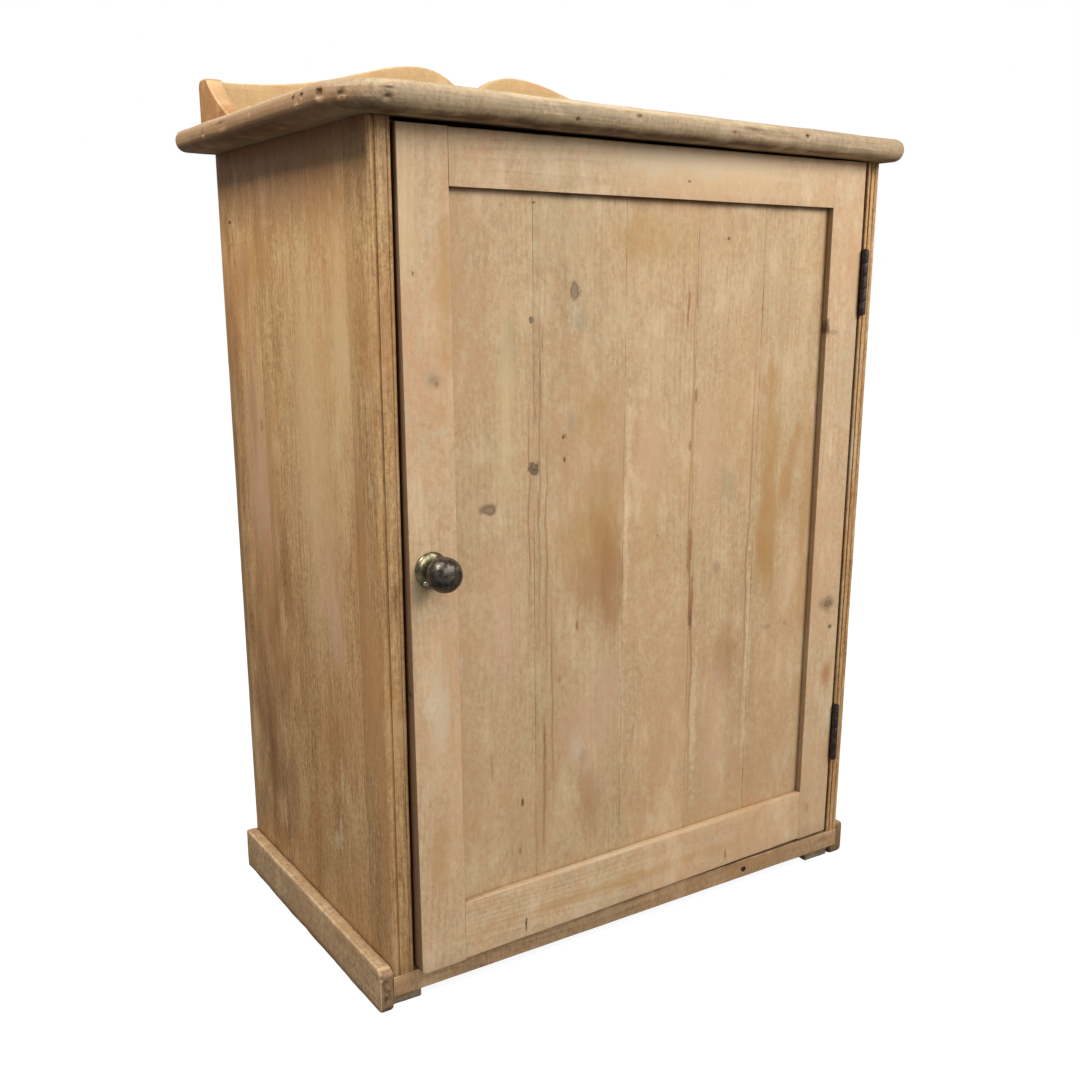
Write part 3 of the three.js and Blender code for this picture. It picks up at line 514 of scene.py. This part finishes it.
class Finish(Enum):
    """The finishes of the cupboard, one to each kind of surface."""

    FRAME = PineFinish(
        "pine_frame", "pine_door", (211, 183, 145), (166, 128, 90), (196, 152, 112), (224, 202, 170),
        band=0.5, ring=0.3, shade_and_dirt=0.4, tinge=0.6, grit=1.2, streaks=0.2, marks=FRAME_MARKS)
    PANEL = PineFinish(
        "pine_panel", "pine_door", (209, 181, 139), (160, 122, 82), (192, 149, 108), (222, 201, 166),
        (194, 172, 132), ring=0.22, band=0.6, blotch=0.5, tinge=0.6, grit=1.2, streaks=0.2, spread=0.08,
        shade_and_dirt=0.35, marks=PANEL_MARKS)
    SIDE = PineFinish(
        "pine_side", "pine_side", (208, 170, 118), (140, 94, 50), (176, 120, 66), (218, 188, 144),
        (176, 138, 94), ring=0.3, blotch=0.45, rough=0.5, foot_shade=0.16, grit=1.9, streaks=1.25,
        shade_and_dirt=0.45, marks=SIDE_MARKS)
    RAIL = PineFinish(
        "pine_rail", "pine_side", (190, 158, 118), (122, 90, 58), (160, 116, 76), (206, 178, 138),
        (150, 130, 98), ring=0.3, band=0.8, grit=1.4, marks=RAIL_MARKS)
    TOP = PineFinish(
        "pine_top", "pine_top", (186, 162, 128), (120, 98, 72), (152, 126, 92), (206, 184, 150),
        (146, 130, 104), ring=0.2, band=0.7, blotch=0.4, rough=0.52, grit=1.2, marks=NOSE_MARKS)
    GALLERY = PineFinish(
        "pine_gallery", "pine_gallery", (188, 160, 114), (158, 122, 76), (178, 138, 90), (216, 190, 148),
        (182, 158, 116), (190, 162, 120), ring=0.3, band=0.6, blotch=0.4)
    GALLERY_END = PineFinish(
        "pine_gallery_end", "pine_gallery", (174, 126, 76), (132, 86, 46), (158, 104, 56), (210, 180, 132),
        (150, 118, 74), (196, 168, 126), ring=0.3, band=0.7, blotch=0.5, grit=1.6)
    RUNNER = PineFinish(
        "pine_runner", "pine_runner", (206, 174, 132), (124, 92, 60), (164, 122, 78), (226, 196, 154),
        (150, 128, 96), (104, 76, 52), ring=0.3, blotch=0.4, shade_and_dirt=0.9, grit=2.0, marks=BASE_MARKS)
    FOOT = PineFinish(
        "pine_foot", "pine_runner", (166, 148, 120), (96, 78, 58), (128, 102, 74), (190, 174, 146),
        (132, 122, 102), grit=2.0, shade_and_dirt=0.9)
    INNER = PineFinish(
        "pine_inner", "pine_inner", (208, 172, 124), (152, 106, 64), (188, 136, 86), (214, 184, 140),
        ring=0.6, band=0.8, chalk=0.15, rough=0.72)
    BRASS = MetalFinish("old_brass", "brass_rose", (192, 184, 140), (50, 44, 28), 0.47, 0.24)
    BRONZE = MetalFinish(
        "dark_bronze", "bronze_knob", (128, 118, 104), (30, 23, 18), 0.42, 0.2, 0.9, 420.0, 0.0009, 0.2)
    IRON = MetalFinish("old_iron", "iron", (92, 78, 74), (44, 36, 36), 0.42, 0.45, 0.8, 420.0, 0.0002)
    STEEL = MetalFinish("rubbed_screw", "iron", (240, 234, 214), (170, 158, 130), 0.8, 0.25, 0.5)


class Grain(Enum):
    """Which of x, y and z run across, through and along a board's grain."""

    UPRIGHT_FRONT = (0, 1, 2)
    UPRIGHT_SIDE = (1, 0, 2)
    LEVEL_FRONT = (2, 1, 0)
    LEVEL_FLAT = (1, 2, 0)
    BACKWARD = (2, 0, 1)


# The bench: mesh work that every sub-assembly uses


@dataclass(frozen=True)
class Wear:
    """A board's wear in millimetres: arris radius, wobble, spacing of cuts and length of a wave."""

    arris: float
    wobble: float
    pitch: float
    wave: float


@dataclass
class Bench:
    """Copies CAD pieces, wears them and hands them to the frame."""

    seed: int = 7
    sharp: float = 42.0
    weld: float = 0.000002
    flat: float = 1.5
    chatter: float = 0.35
    chatter_wave: float = 0.2
    dent_rounds: int = 3
    dent_reach: float = 2.4
    dent_mesh: float = 0.45
    turned_to: float = 0.6
    edge_band: float = 3.0
    inner_shade_and_grime: float = 0.42
    iron_round: float = 0.35
    dressed: dict[str, bpy.types.Material] = field(default_factory=dict)

    def __post_init__(self) -> None:
        """Takes the carcass frame's origin from the bottom board, and starts the random draws."""
        low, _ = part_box("bottom_board_front")
        self.origin = Vector(low)
        self.draw = random.Random(self.seed)
        self.door_edges = (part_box("door_stile_free")[0][0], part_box("door_stile_hinge")[1][0])

    def place(self, x: float, y: float, z: float) -> Vector:
        """Turns millimetres in the carcass frame into a point in metres in the shared frame."""
        return self.origin + Vector((x, y, z)) * MM

    def material(self, finish: Finish) -> bpy.types.Material:
        """Returns a finish's material, made once."""
        if finish.name not in self.dressed:
            self.dressed[finish.name] = finish.value.dress(self)
        return self.dressed[finish.name]

    def copy(self, node: str) -> Mesh:
        """Copies a CAD node's mesh, with its loose triangles joined into faces."""
        mesh = bmesh.new()
        mesh.from_mesh(frame["nodes"][node].data)
        bmesh.ops.remove_doubles(mesh, verts=mesh.verts, dist=self.weld)
        flat = radians(self.flat)
        bmesh.ops.dissolve_limit(mesh, angle_limit=flat, verts=mesh.verts, edges=mesh.edges)
        return mesh

    def soften(self, mesh: Mesh, width: float) -> None:
        """Rounds the sharp edges and notes the rounded faces in the arris layer.

        Args:
            mesh: The piece.
            width: The round's width in millimetres.
        """
        arris = mesh.loops.layers.float.new("arris")
        limit = radians(self.sharp)
        edges = [e for e in mesh.edges if len(e.link_faces) == 2 and e.calc_face_angle(0.0) > limit]
        made = bmesh.ops.bevel(
            mesh, geom=edges, offset=width * MM, offset_type="OFFSET", segments=2,
            profile=0.5, affect="EDGES", clamp_overlap=True, material=-1)
        for face in made["faces"]:
            for loop in face.loops:
                loop[arris] = 1.0

    @staticmethod
    def cut(mesh: Mesh, point: Vector | Triple, normal: Vector | Triple) -> None:
        """Cuts every face that a plane through a point crosses."""
        everything = mesh.verts[:] + mesh.edges[:] + mesh.faces[:]
        bmesh.ops.bisect_plane(mesh, geom=everything, plane_co=point, plane_no=normal)

    def slice(self, mesh: Mesh, pitch: float) -> None:
        """Cuts a piece by planes this many millimetres apart, so that its surface can move."""
        for axis in range(3):
            places = [v.co[axis] for v in mesh.verts]
            low, high = min(places), max(places)
            count = int((high - low) / (pitch * MM))
            normal = Vector([float(i == axis) for i in range(3)])
            for i in range(1, count + 1):
                self.cut(mesh, normal * (low + (high - low) * i / (count + 1)), normal)

    def wobble(self, mesh: Mesh, wear: Wear) -> None:
        """Moves a piece's surface in and out a little, as hand planing and wear leave it."""
        mesh.normal_update()
        start = Vector([self.draw.uniform(-50.0, 50.0) for _ in range(3)])
        for vertex in mesh.verts:
            lift = noise.noise(vertex.co / (wear.wave * MM) + start)
            fine = noise.noise(vertex.co / (wear.wave * MM * self.chatter_wave) + start)
            vertex.co += vertex.normal * (lift + self.chatter * fine) * wear.wobble * MM

    def dent(self, mesh: Mesh, centre: Vector, radius: float, depth: float) -> None:
        """Presses a round dent into a surface, cutting the mesh finer round it first.

        Args:
            mesh: The piece.
            centre: The dent's middle on the surface, in metres.
            radius, depth: Its size in millimetres.
        """
        reach = radius * MM
        for _ in range(self.dent_rounds):
            near = [e for e in mesh.edges
                    if min((v.co - centre).length for v in e.verts) < self.dent_reach * reach
                    and e.calc_length() > self.dent_mesh * reach]
            if near:
                bmesh.ops.subdivide_edges(mesh, edges=near, cuts=1, use_grid_fill=True)
        mesh.normal_update()
        for vertex in mesh.verts:
            share = (vertex.co - centre).length / reach
            if share < 1.0:
                vertex.co -= vertex.normal * depth * MM * (1.0 - share * share) ** 2

    def grained(self, mesh: Mesh, grain: Grain, finish: Finish) -> None:
        """Gives a board its grain coordinates, tint and end grain, and gives a door frame's side and
        underside faces painted shade with a grimy brown.

        Args:
            mesh: The board.
            grain: How its grain runs.
            finish: Its finish; only that of the door frame gets the grimy painted shade.
        """
        along = mesh.verts.layers.float_vector.new("grain")
        tint = mesh.verts.layers.float.new("tint")
        end = mesh.loops.layers.float.new("end_grain")
        grime = mesh.loops.layers.float.new("grime")
        middle = sum((v.co for v in mesh.verts), Vector()) / len(mesh.verts)
        shift = Vector((self.draw.uniform(-0.05, 0.05), self.draw.uniform(0.015, 0.06),
                        self.draw.uniform(-3.0, 3.0)))
        tone = self.draw.random()
        mesh.normal_update()
        for vertex in mesh.verts:
            local = vertex.co - middle
            vertex[along] = Vector([local[axis] for axis in grain.value]) + shift
            vertex[tint] = tone
        for face in mesh.faces:
            # Painted shade, grimy too: on the door frame, side faces at its outer edges and faces looking
            # down are darkened fully, other side faces partly.
            from_edge = min(abs(face.calc_center_median().x - edge) for edge in self.door_edges)
            outer = from_edge < self.edge_band * MM
            sideways = abs(face.normal.x) > self.turned_to
            below = face.normal.z < -self.turned_to
            dark = 1.0 if sideways and outer or below else self.inner_shade_and_grime * sideways
            for loop in face.loops:
                loop[end] = min(max(abs(face.normal[grain.value[2]]) * 2.5 - 1.0, 0.0), 1.0)
                loop[grime] = dark if finish is Finish.FRAME else 0.0

    def deliver(self, mesh: Mesh, name: str, finish: Finish, body: str, nodes: tuple[str, ...] = ()) -> None:
        """Turns a mesh into a piece, dressed and riding on its body.

        Args:
            mesh: The piece's mesh, in place.
            name, finish: What it is called and made of.
            body: The CAD body that it rides on.
            nodes: The CAD nodes that it stands for.
        """
        if not mesh.loops.layers.float.get("arris"):
            mesh.loops.layers.float.new("arris")
        data = bpy.data.meshes.new(name)
        mesh.to_mesh(data)
        mesh.free()
        data.shade_smooth()
        data.set_sharp_from_angle(angle=radians(self.sharp - 6.0))
        piece = linked(name, data)
        data.materials.append(self.material(finish))
        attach(piece, body)
        if nodes:
            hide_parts(*nodes)
        log.info("%s: %d faces on %s", name, len(data.polygons), body)

    def board(self, node: str, grain: Grain, finish: Finish, wear: Wear, dents: Dents = (),
              body: str = "carcass", lap: float = 0.0) -> None:
        """Makes the worn board that stands for one CAD node.

        Args:
            node: The CAD node.
            grain, finish: How its grain runs, and its wood.
            wear: How worn it is.
            dents: x, y, z, radius and depth of each dent, in carcass millimetres.
            body: The body that it rides on.
            lap: How much further down its foot reaches, in millimetres, to close a joint.
        """
        mesh = self.copy(node)
        foot = min(vertex.co.z for vertex in mesh.verts)
        for vertex in mesh.verts:
            if vertex.co.z - foot < 0.1 * MM:
                vertex.co.z -= lap * MM
        self.soften(mesh, wear.arris)
        self.slice(mesh, wear.pitch)
        self.wobble(mesh, wear)
        for x, y, z, radius, depth in dents:
            self.dent(mesh, self.place(x, y, z), radius, depth)
        self.grained(mesh, grain, finish)
        self.deliver(mesh, f"{node}_wood", finish, body, (node,))

    def iron(self, node: str, body: str) -> None:
        """Makes the iron piece that stands for one CAD node on a body, its edges a little round."""
        mesh = self.copy(node)
        self.soften(mesh, self.iron_round)
        self.deliver(mesh, f"{node}_iron", Finish.IRON, body, (node,))

    def turned(self, profile: list[tuple[float, float]], steps: int) -> Mesh:
        """Spins a profile of radius and height, in millimetres, round z.

        Args:
            profile: Points from the axis at the bottom to the axis at the top.
            steps: Faces round the piece.

        Returns:
            The closed turned mesh, in metres.
        """
        mesh = bmesh.new()
        verts = [mesh.verts.new((radius * MM, 0.0, height * MM)) for radius, height in profile]
        edges = [mesh.edges.new(pair) for pair in zip(verts, verts[1:])]
        bmesh.ops.spin(mesh, geom=verts + edges, cent=(0, 0, 0), axis=(0, 0, 1), dvec=(0, 0, 0),
                       angle=math.tau, steps=steps, use_merge=True, use_duplicate=False)
        bmesh.ops.remove_doubles(mesh, verts=mesh.verts, dist=self.weld)
        bmesh.ops.recalc_face_normals(mesh, faces=mesh.faces)
        return mesh

    def screw(self, radius: float, dome: float, slot: float) -> Mesh:
        """Makes a slotted screw head that looks along +z, its seat at z = 0.

        Args:
            radius: The head's radius in millimetres.
            dome: How far its middle stands up.
            slot: The slot's width; it is cut 0.7 of the dome deep.

        Returns:
            The head's mesh.
        """
        profile = [(0.0, -dome), (radius * 0.7, -dome), (radius, 0.0), (radius * 0.94, dome * 0.4),
                   (radius * 0.7, dome * 0.8), (radius * 0.35, dome), (0.0, dome)]
        mesh = self.turned(profile, 20)
        side = slot / 2 * MM
        for place in (-side, side):
            self.cut(mesh, (place, 0, 0), (1, 0, 0))
        top = [f for f in mesh.faces if abs(f.calc_center_median().x) < side
               and f.normal.z > 0.3 and f.calc_center_median().z > 0]
        made = bmesh.ops.extrude_face_region(mesh, geom=top)
        down = [g for g in made["geom"] if isinstance(g, bmesh.types.BMVert)]
        bmesh.ops.translate(mesh, verts=down, vec=(0, 0, -dome * 0.7 * MM))
        bmesh.ops.delete(mesh, geom=top, context="FACES_ONLY")
        return mesh

    def merge(self, parts: list[tuple[Mesh, Matrix]]) -> Mesh:
        """Joins several meshes, each put in its place, into one."""
        whole = bmesh.new()
        for part, place in parts:
            bmesh.ops.transform(part, matrix=place, verts=part.verts)
            data = bpy.data.meshes.new("part")
            part.to_mesh(data)
            part.free()
            whole.from_mesh(data)
            bpy.data.meshes.remove(data)
        return whole


# Sub-assemblies


@dataclass
class Carcass:
    """The two sides, the bottom board and the back."""

    bead_wear: Wear = Wear(0.5, 0.25, 24, 70)
    plank_wear: Wear = Wear(0.7, 0.35, 24, 80)
    rail_wear: Wear = Wear(0.9, 0.3, 20, 60)
    rough_wear: Wear = Wear(0.8, 0.3, 60, 120)
    side_dents: Dents = ((0, 385, 822, 3.4, 1.6), (0, 98, 690, 9, 0.5),
                         (0, 142, 626, 10, 0.6))
    rear_board_from: float = 300.0
    rail_dents: Dents = ((505, 0, 12, 4.2, 2.4), (140, 0, 20, 7, 0.5))
    nail_radius: float = 2.6
    nail_inset: float = 14.0
    back_lap: float = 7.0

    def build(self, bench: Bench) -> None:
        """Makes every board of the carcass."""
        for side in ("left", "right"):
            for part in ("front", "middle", "rear"):
                wear = self.bead_wear if part == "front" else self.plank_wear
                dents = self.side_dents if side == "left" and part != "front" else ()
                mine = tuple(d for d in dents if (d[1] > self.rear_board_from) == (part == "rear"))
                bench.board(f"side_{side}_{part}_board", Grain.UPRIGHT_SIDE, Finish.SIDE, wear, mine)
        bench.board("bottom_board_front", Grain.LEVEL_FLAT, Finish.RAIL, self.rail_wear, self.rail_dents)
        bench.board("bottom_board_rear", Grain.LEVEL_FLAT, Finish.INNER, self.rough_wear)
        backs = sorted(name for name in frame["nodes"] if name.startswith("back_board_"))
        for name in backs:
            bench.board(name, Grain.UPRIGHT_FRONT, Finish.INNER, self.rough_wear, lap=self.back_lap)
        bench.board("back_top_batten", Grain.LEVEL_FRONT, Finish.INNER, self.rough_wear)
        self.nail(bench, backs)

    def nail(self, bench: Bench, backs: list[str]) -> None:
        """Drives two nails through each end of every back board."""
        parts = []
        face_back = Matrix.Rotation(radians(-90.0), 4, "X")
        inset = self.nail_inset * MM
        for name in backs:
            low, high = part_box(name)
            for x in (low[0] + 2 * inset, high[0] - 2 * inset):
                for z in (low[2] + inset, high[2] - inset):
                    head = bench.turned([(0, -1.0), (self.nail_radius, -1.0), (self.nail_radius, 0.0),
                                         (self.nail_radius * 0.7, 0.5), (0, 0.6)], 12)
                    parts.append((head, Matrix.Translation((x, high[1], z)) @ face_back))
        bench.deliver(bench.merge(parts), "back_board_nails", Finish.IRON, "carcass")


@dataclass
class TopAndGallery:
    """The bullnosed top with its shaped gallery."""

    nose_wear: Wear = Wear(0.6, 0.7, 11, 46)
    gallery_wear: Wear = Wear(1.6, 0.35, 14, 60)
    front_board_to: float = 160.0
    nose_dents: Dents = (
        (-45.7, 35.6, 915, 4.6, 2.4), (-43, 0.7, 911.9, 7, 4), (-32, -22.2, 911.1, 5.4, 2.6),
        (1, -45.6, 908.9, 5.8, 1.8), (203.1, -42.7, 905.9, 3.6, 1.8), (278.5, -41.9, 914.9, 5, 1.6),
        (408.1, -37.9, 910, 3.6, 1.2), (518.7, -34.4, 915.5, 4.2, 2.2), (-42, 27.7, 921.9, 4, 1.4),
        (-45.8, 49.9, 914.2, 9, 1.2), (-45.8, 321, 910.9, 5, 1.4), (-45.5, 173.3, 916, 6, 1.4),
    )

    def build(self, bench: Bench) -> None:
        """Makes the top boards and the gallery."""
        for end in ("front", "rear"):
            mine = tuple(d for d in self.nose_dents if (d[1] < self.front_board_to) == (end == "front"))
            bench.board(f"top_board_{end}", Grain.LEVEL_FLAT, Finish.TOP, self.nose_wear, mine)
        bench.board("gallery_back", Grain.LEVEL_FRONT, Finish.GALLERY, self.gallery_wear)
        for side in ("left", "right"):
            bench.board(f"gallery_side_{side}", Grain.BACKWARD, Finish.GALLERY_END, self.gallery_wear)


@dataclass
class Inside:
    """The shelves, cleats and stop strip behind the door."""

    wear: Wear = Wear(0.8, 0.2, 60, 120)

    def build(self, bench: Bench) -> None:
        """Makes the shelves and every strip that carries or stops something."""
        for name in sorted(frame["nodes"]):
            if name.startswith("shelf_") and "cleat" not in name:
                bench.board(name, Grain.LEVEL_FLAT, Finish.INNER, self.wear)
            elif "cleat" in name:
                bench.board(name, Grain.BACKWARD, Finish.INNER, self.wear)
        bench.board("door_stop_strip", Grain.UPRIGHT_FRONT, Finish.INNER, self.wear)


@dataclass
class Base:
    """The runner boards and the foot blocks."""

    runner_wear: Wear = Wear(2.2, 0.8, 9, 30)
    foot_wear: Wear = Wear(1.8, 0.8, 6, 22)
    end_dents: Dents = ((-9, 0, 20, 5, 3), (-7, 0, 8, 4.4, 3.6),
                        (-7.5, 2, 0, 4, 3), (-14, 1, 27, 4, 1.8))

    def build(self, bench: Bench) -> None:
        """Makes the runners, with the cracked end of the left one, and the four blocks."""
        for side in ("left", "right"):
            dents = self.end_dents if side == "left" else ()
            bench.board(f"runner_{side}", Grain.BACKWARD, Finish.RUNNER, self.runner_wear, dents)
            for end in ("front", "rear"):
                bench.board(f"foot_block_{end}_{side}", Grain.LEVEL_FLAT, Finish.FOOT, self.foot_wear)


@dataclass
class Door:
    """The framed door with its boarded panel."""

    body: str = "door"
    frame_wear: Wear = Wear(0.2, 0.3, 22, 60)
    panel_wear: Wear = Wear(0.4, 0.3, 22, 60)
    slit: Dents = ((162, -12, 44, 2.6, 1.6),)
    notches: Dents = ((26.6, -3, 341, 5, 3),)

    def build(self, bench: Bench) -> None:
        """Makes the stiles, rails and panel boards."""
        for name, grain, dents in (("door_stile_free", Grain.UPRIGHT_FRONT, self.notches),
                                   ("door_stile_hinge", Grain.UPRIGHT_FRONT, ()),
                                   ("door_rail_top", Grain.LEVEL_FRONT, ()),
                                   ("door_rail_bottom", Grain.LEVEL_FRONT, self.slit)):
            bench.board(name, grain, Finish.FRAME, self.frame_wear, dents, self.body)
        for name in sorted(n for n in frame["nodes"] if n.startswith("door_panel_board_")):
            bench.board(name, Grain.UPRIGHT_FRONT, Finish.PANEL, self.panel_wear, body=self.body)


@dataclass
class KnobSet:
    """The ball knob, its domed rose and the catch behind the door."""

    ball_radius: float = 18.2
    nose_flat: float = 2.6
    ball_out: float = 28.0
    neck_radius: float = 6.5
    rose_radius: float = 18.6
    rose_height: float = 6.0
    rose_rim: float = 1.2
    seat: float = 0.3
    steps: int = 72
    screw_size: Triple = (2.8, 1.0, 0.7)
    screw_at: Triple = (43.1, -13.2, 460.4)
    screw_lean: float = 30.0

    def __post_init__(self) -> None:
        """Finds the knob's axis, which leans with the door."""
        joint = next(j for j in frame["joints"] if j["name"] == "knob_turn")
        axis = Vector(joint["axis"]).normalized()
        self.axis_place = Matrix.Translation(Vector(joint["pos_m"])) @ \
            axis.to_track_quat("-Z", "Y").to_matrix().to_4x4()

    def build(self, bench: Bench) -> None:
        """Makes the rose, its screw, the knob and the ironwork of the catch."""
        self.rose(bench)
        self.knob(bench)
        for name in ("knob_spindle", "catch_bar", "catch_nut"):
            bench.iron(name, "knob")

    def rose(self, bench: Bench) -> None:
        """Turns the domed rose and sets its one screw low on the left."""
        crown = self.neck_radius + self.rose_rim
        dome = [(crown + (self.rose_radius - crown) * math.cos(a), self.rose_rim
                 + (self.rose_height - self.rose_rim) * math.sin(a) + self.seat)
                for a in (radians(9.0 * i) for i in range(11))]
        profile = [(0.0, self.seat), (self.rose_radius - 0.5, self.seat), *dome,
                   (0.0, self.rose_height + self.seat)]
        mesh = bench.turned(profile, self.steps)
        bmesh.ops.transform(mesh, matrix=self.axis_place, verts=mesh.verts)
        bench.deliver(mesh, "knob_rose_brass", Finish.BRASS, "door", ("knob_rose",))
        spot = self.axis_place.inverted() @ bench.place(*self.screw_at)
        lean = Matrix.Rotation(radians(self.screw_lean), 4, Vector((-spot.y, spot.x, 0.0)))
        head = bench.screw(*self.screw_size)
        bmesh.ops.transform(head, matrix=self.axis_place @ Matrix.Translation(spot) @ lean, verts=head.verts)
        bench.deliver(head, "knob_rose_screw", Finish.STEEL, "door")

    def knob(self, bench: Bench) -> None:
        """Turns the ball knob, its nose a little flat."""
        start = self.rose_height + 2 * self.seat
        foot = math.degrees(math.acos(self.neck_radius / self.ball_radius))
        count = 26
        ball = []
        for i in range(count):
            angle = radians(-foot + (90.0 + foot) * i / count)
            height = self.ball_radius * math.sin(angle)
            rise = max(height, 0.0) / self.ball_radius
            height -= self.nose_flat * rise ** 3
            ball.append((self.ball_radius * math.cos(angle), self.ball_out + height))
        profile = [(0.0, start), (self.neck_radius, start), *ball,
                   (0.0, self.ball_out + self.ball_radius - self.nose_flat)]
        mesh = bench.turned(profile, self.steps)
        bmesh.ops.transform(mesh, matrix=self.axis_place, verts=mesh.verts)
        bench.deliver(mesh, "knob_bronze", Finish.BRONZE, "knob", ("knob",))


@dataclass
class Hinges:
    """The two iron butt hinges and their screws."""

    screw_size: Triple = (3.4, 0.12, 0.9)
    screw_shares: tuple = (0.16, 0.5, 0.84)
    screw_depth: float = 8.0

    def build(self, bench: Bench) -> None:
        """Makes the leaves, pins and screws."""
        for which in ("upper", "lower"):
            for part, body in (("frame_leaf", "carcass"), ("door_leaf", "door"), ("pin", "carcass")):
                bench.iron(f"hinge_{which}_{part}", body)
            self.screws(bench, f"hinge_{which}_frame_leaf", "carcass", -1.0)
            self.screws(bench, f"hinge_{which}_door_leaf", "door", 1.0)

    def screws(self, bench: Bench, leaf: str, body: str, facing: float) -> None:
        """Sinks three screws into one leaf.

        Args:
            bench: Makes the heads.
            leaf: The leaf's CAD node.
            body: The body that it rides on.
            facing: 1 when its open face looks along +x, -1 along -x.
        """
        low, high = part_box(leaf)
        x = high[0] if facing > 0 else low[0]
        turn = Matrix.Rotation(radians(90.0 * facing), 4, "Y")
        heads = []
        for share in self.screw_shares:
            spot = Vector((x, high[1] - self.screw_depth * MM, low[2] + (high[2] - low[2]) * share))
            slant = Matrix.Rotation(bench.draw.uniform(0.0, math.pi), 4, "Z")
            head = bench.screw(*self.screw_size)
            heads.append((head, Matrix.Translation(spot) @ turn @ slant))
        bench.deliver(bench.merge(heads), f"{leaf}_screws", Finish.STEEL, body)


@dataclass
class Studio:
    """The camera at the photograph's place, a plain floor and soft light."""

    camera_at: Triple = (-487.3, -1053.8, 742.9)
    yaw: float = 34.162
    pitch: float = 14.169
    roll: float = 0.419
    lens: float = 39.66
    shift: tuple[float, float] = (-0.0286, 0.0506)
    floor_size: float = 40.0
    floor_glow: float = 1.45
    glow_share: float = 0.62
    sky_level: float = 0.5
    ground_level: float = 0.03
    sky_from: tuple[float, float] = (-0.1, 0.5)
    front_level: float = 1.45
    high_level: float = 0.2
    side_watts: float = 52.0
    near_watts: float = 14.0

    def build(self, bench: Bench) -> None:
        """Sets the camera, the floor, the world and the lamps."""
        self.camera(bench)
        self.floor()
        self.world()
        self.lamps()
        bpy.context.scene.view_settings.view_transform = "Standard"

    def camera(self, bench: Bench) -> None:
        """Puts the camera where the photograph was taken from."""
        data = bpy.data.cameras.new("camera")
        data.lens = self.lens
        data.sensor_width = 36.0
        data.shift_x, data.shift_y = self.shift
        camera = linked("camera", data)
        turn = Matrix.Rotation(radians(-self.yaw), 4, "Z")
        tilt = Matrix.Rotation(radians(90.0 - self.pitch), 4, "X")
        roll = Matrix.Rotation(radians(self.roll), 4, "Z")
        camera.matrix_world = Matrix.Translation(bench.place(*self.camera_at)) @ turn @ tilt @ roll
        bpy.context.scene.camera = camera

    def floor(self) -> None:
        """Lays a pale floor that shows white to the camera but keeps the cupboard's shadow."""
        mesh = bmesh.new()
        bmesh.ops.create_grid(mesh, x_segments=1, y_segments=1, size=self.floor_size / 2)
        data = bpy.data.meshes.new("floor")
        mesh.to_mesh(data)
        mesh.free()
        floor = linked("floor", data)
        r = Recipe(bpy.data.materials.new("floor_white"))
        plain = r.node("ShaderNodeBsdfDiffuse", {}, {"Color": (0.6, 0.6, 0.6)})
        dim = r.node("ShaderNodeBsdfDiffuse", {}, {"Color": (0.14, 0.135, 0.13)})
        glow = r.node("ShaderNodeEmission", {}, {"Color": (1.0, 1.0, 1.0), "Strength": self.floor_glow})
        shown = r.node("ShaderNodeMixShader", {}, {0: self.glow_share, 1: plain, 2: glow})
        seen = r.node("ShaderNodeLightPath", {}, {}, "Is Camera Ray")
        blend = r.node("ShaderNodeMixShader", {}, {0: seen, 1: dim, 2: shown})
        data.materials.append(r.ended(blend, "Material"))

    def world(self) -> None:
        """Lights the cupboard more from above than from below, and shows white behind it."""
        r = Recipe(bpy.data.worlds.new("studio"))
        _, _, up = r.split(r.node("ShaderNodeTexCoord", {}, {}, "Generated"))
        low, high = self.sky_from
        level = r.node("ShaderNodeMapRange", {}, {
            "Value": up, "From Min": low, "From Max": high, "To Min": self.ground_level,
            "To Max": self.sky_level})
        light = r.node("ShaderNodeBackground", {}, {"Color": (1.0, 1.0, 1.0), "Strength": level})
        white = r.node("ShaderNodeBackground", {}, {"Color": (1.0, 1.0, 1.0)})
        seen = r.node("ShaderNodeLightPath", {}, {}, "Is Camera Ray")
        blend = r.node("ShaderNodeMixShader", {}, {0: seen, 1: light, 2: white})
        bpy.context.scene.world = r.ended(blend, "World")

    def lamps(self) -> None:
        """Hangs two broad lamps in front, one above the left side and a near one at the right."""
        for name, level, wide, way in (("low_lamp", self.front_level, 50.0, (-0.1, 1.0, -0.4)),
                                       ("high_lamp", self.high_level, 22.0, (-0.3, 1.0, -1.3))):
            front = bpy.data.lights.new(name, "SUN")
            front.energy = level
            front.angle = radians(wide)
            self.hang(front, Vector((0.0, -2.0, 2.0)), Vector(way))
        for name, watts, size, at, aim in (
                ("side_lamp", self.side_watts, 0.9, (-1.4, -0.12, 2.4), (-0.33, 0.05, 0.6)),
                ("near_lamp", self.near_watts, 0.6, (0.8, -1.35, 1.5), (0.2, -0.2, 0.75))):
            panel = bpy.data.lights.new(name, "AREA")
            panel.energy = watts
            panel.size = size
            self.hang(panel, Vector(at), Vector(aim) - Vector(at))

    @staticmethod
    def hang(light: bpy.types.Light, at: Vector, way: Vector) -> None:
        """Puts a lamp in the scene.

        Args:
            light: The lamp's data.
            at: Where it hangs, in metres.
            way: The direction that it shines in.
        """
        lamp = linked(light.name, light)
        lamp.location = at
        lamp.rotation_euler = way.to_track_quat("-Z", "Y").to_euler()


def main() -> None:
    """Builds the cupboard and the studio, and logs each piece's face count."""
    logging.basicConfig(level=logging.INFO, format="%(name)s: %(message)s")
    bench = Bench()
    for assembly in (Studio(), Carcass(), TopAndGallery(), Inside(), Base(), Door(), KnobSet(), Hinges()):
        assembly.build(bench)
        log.info("built %s", type(assembly).__name__)


if __name__ == "__main__":
    main()
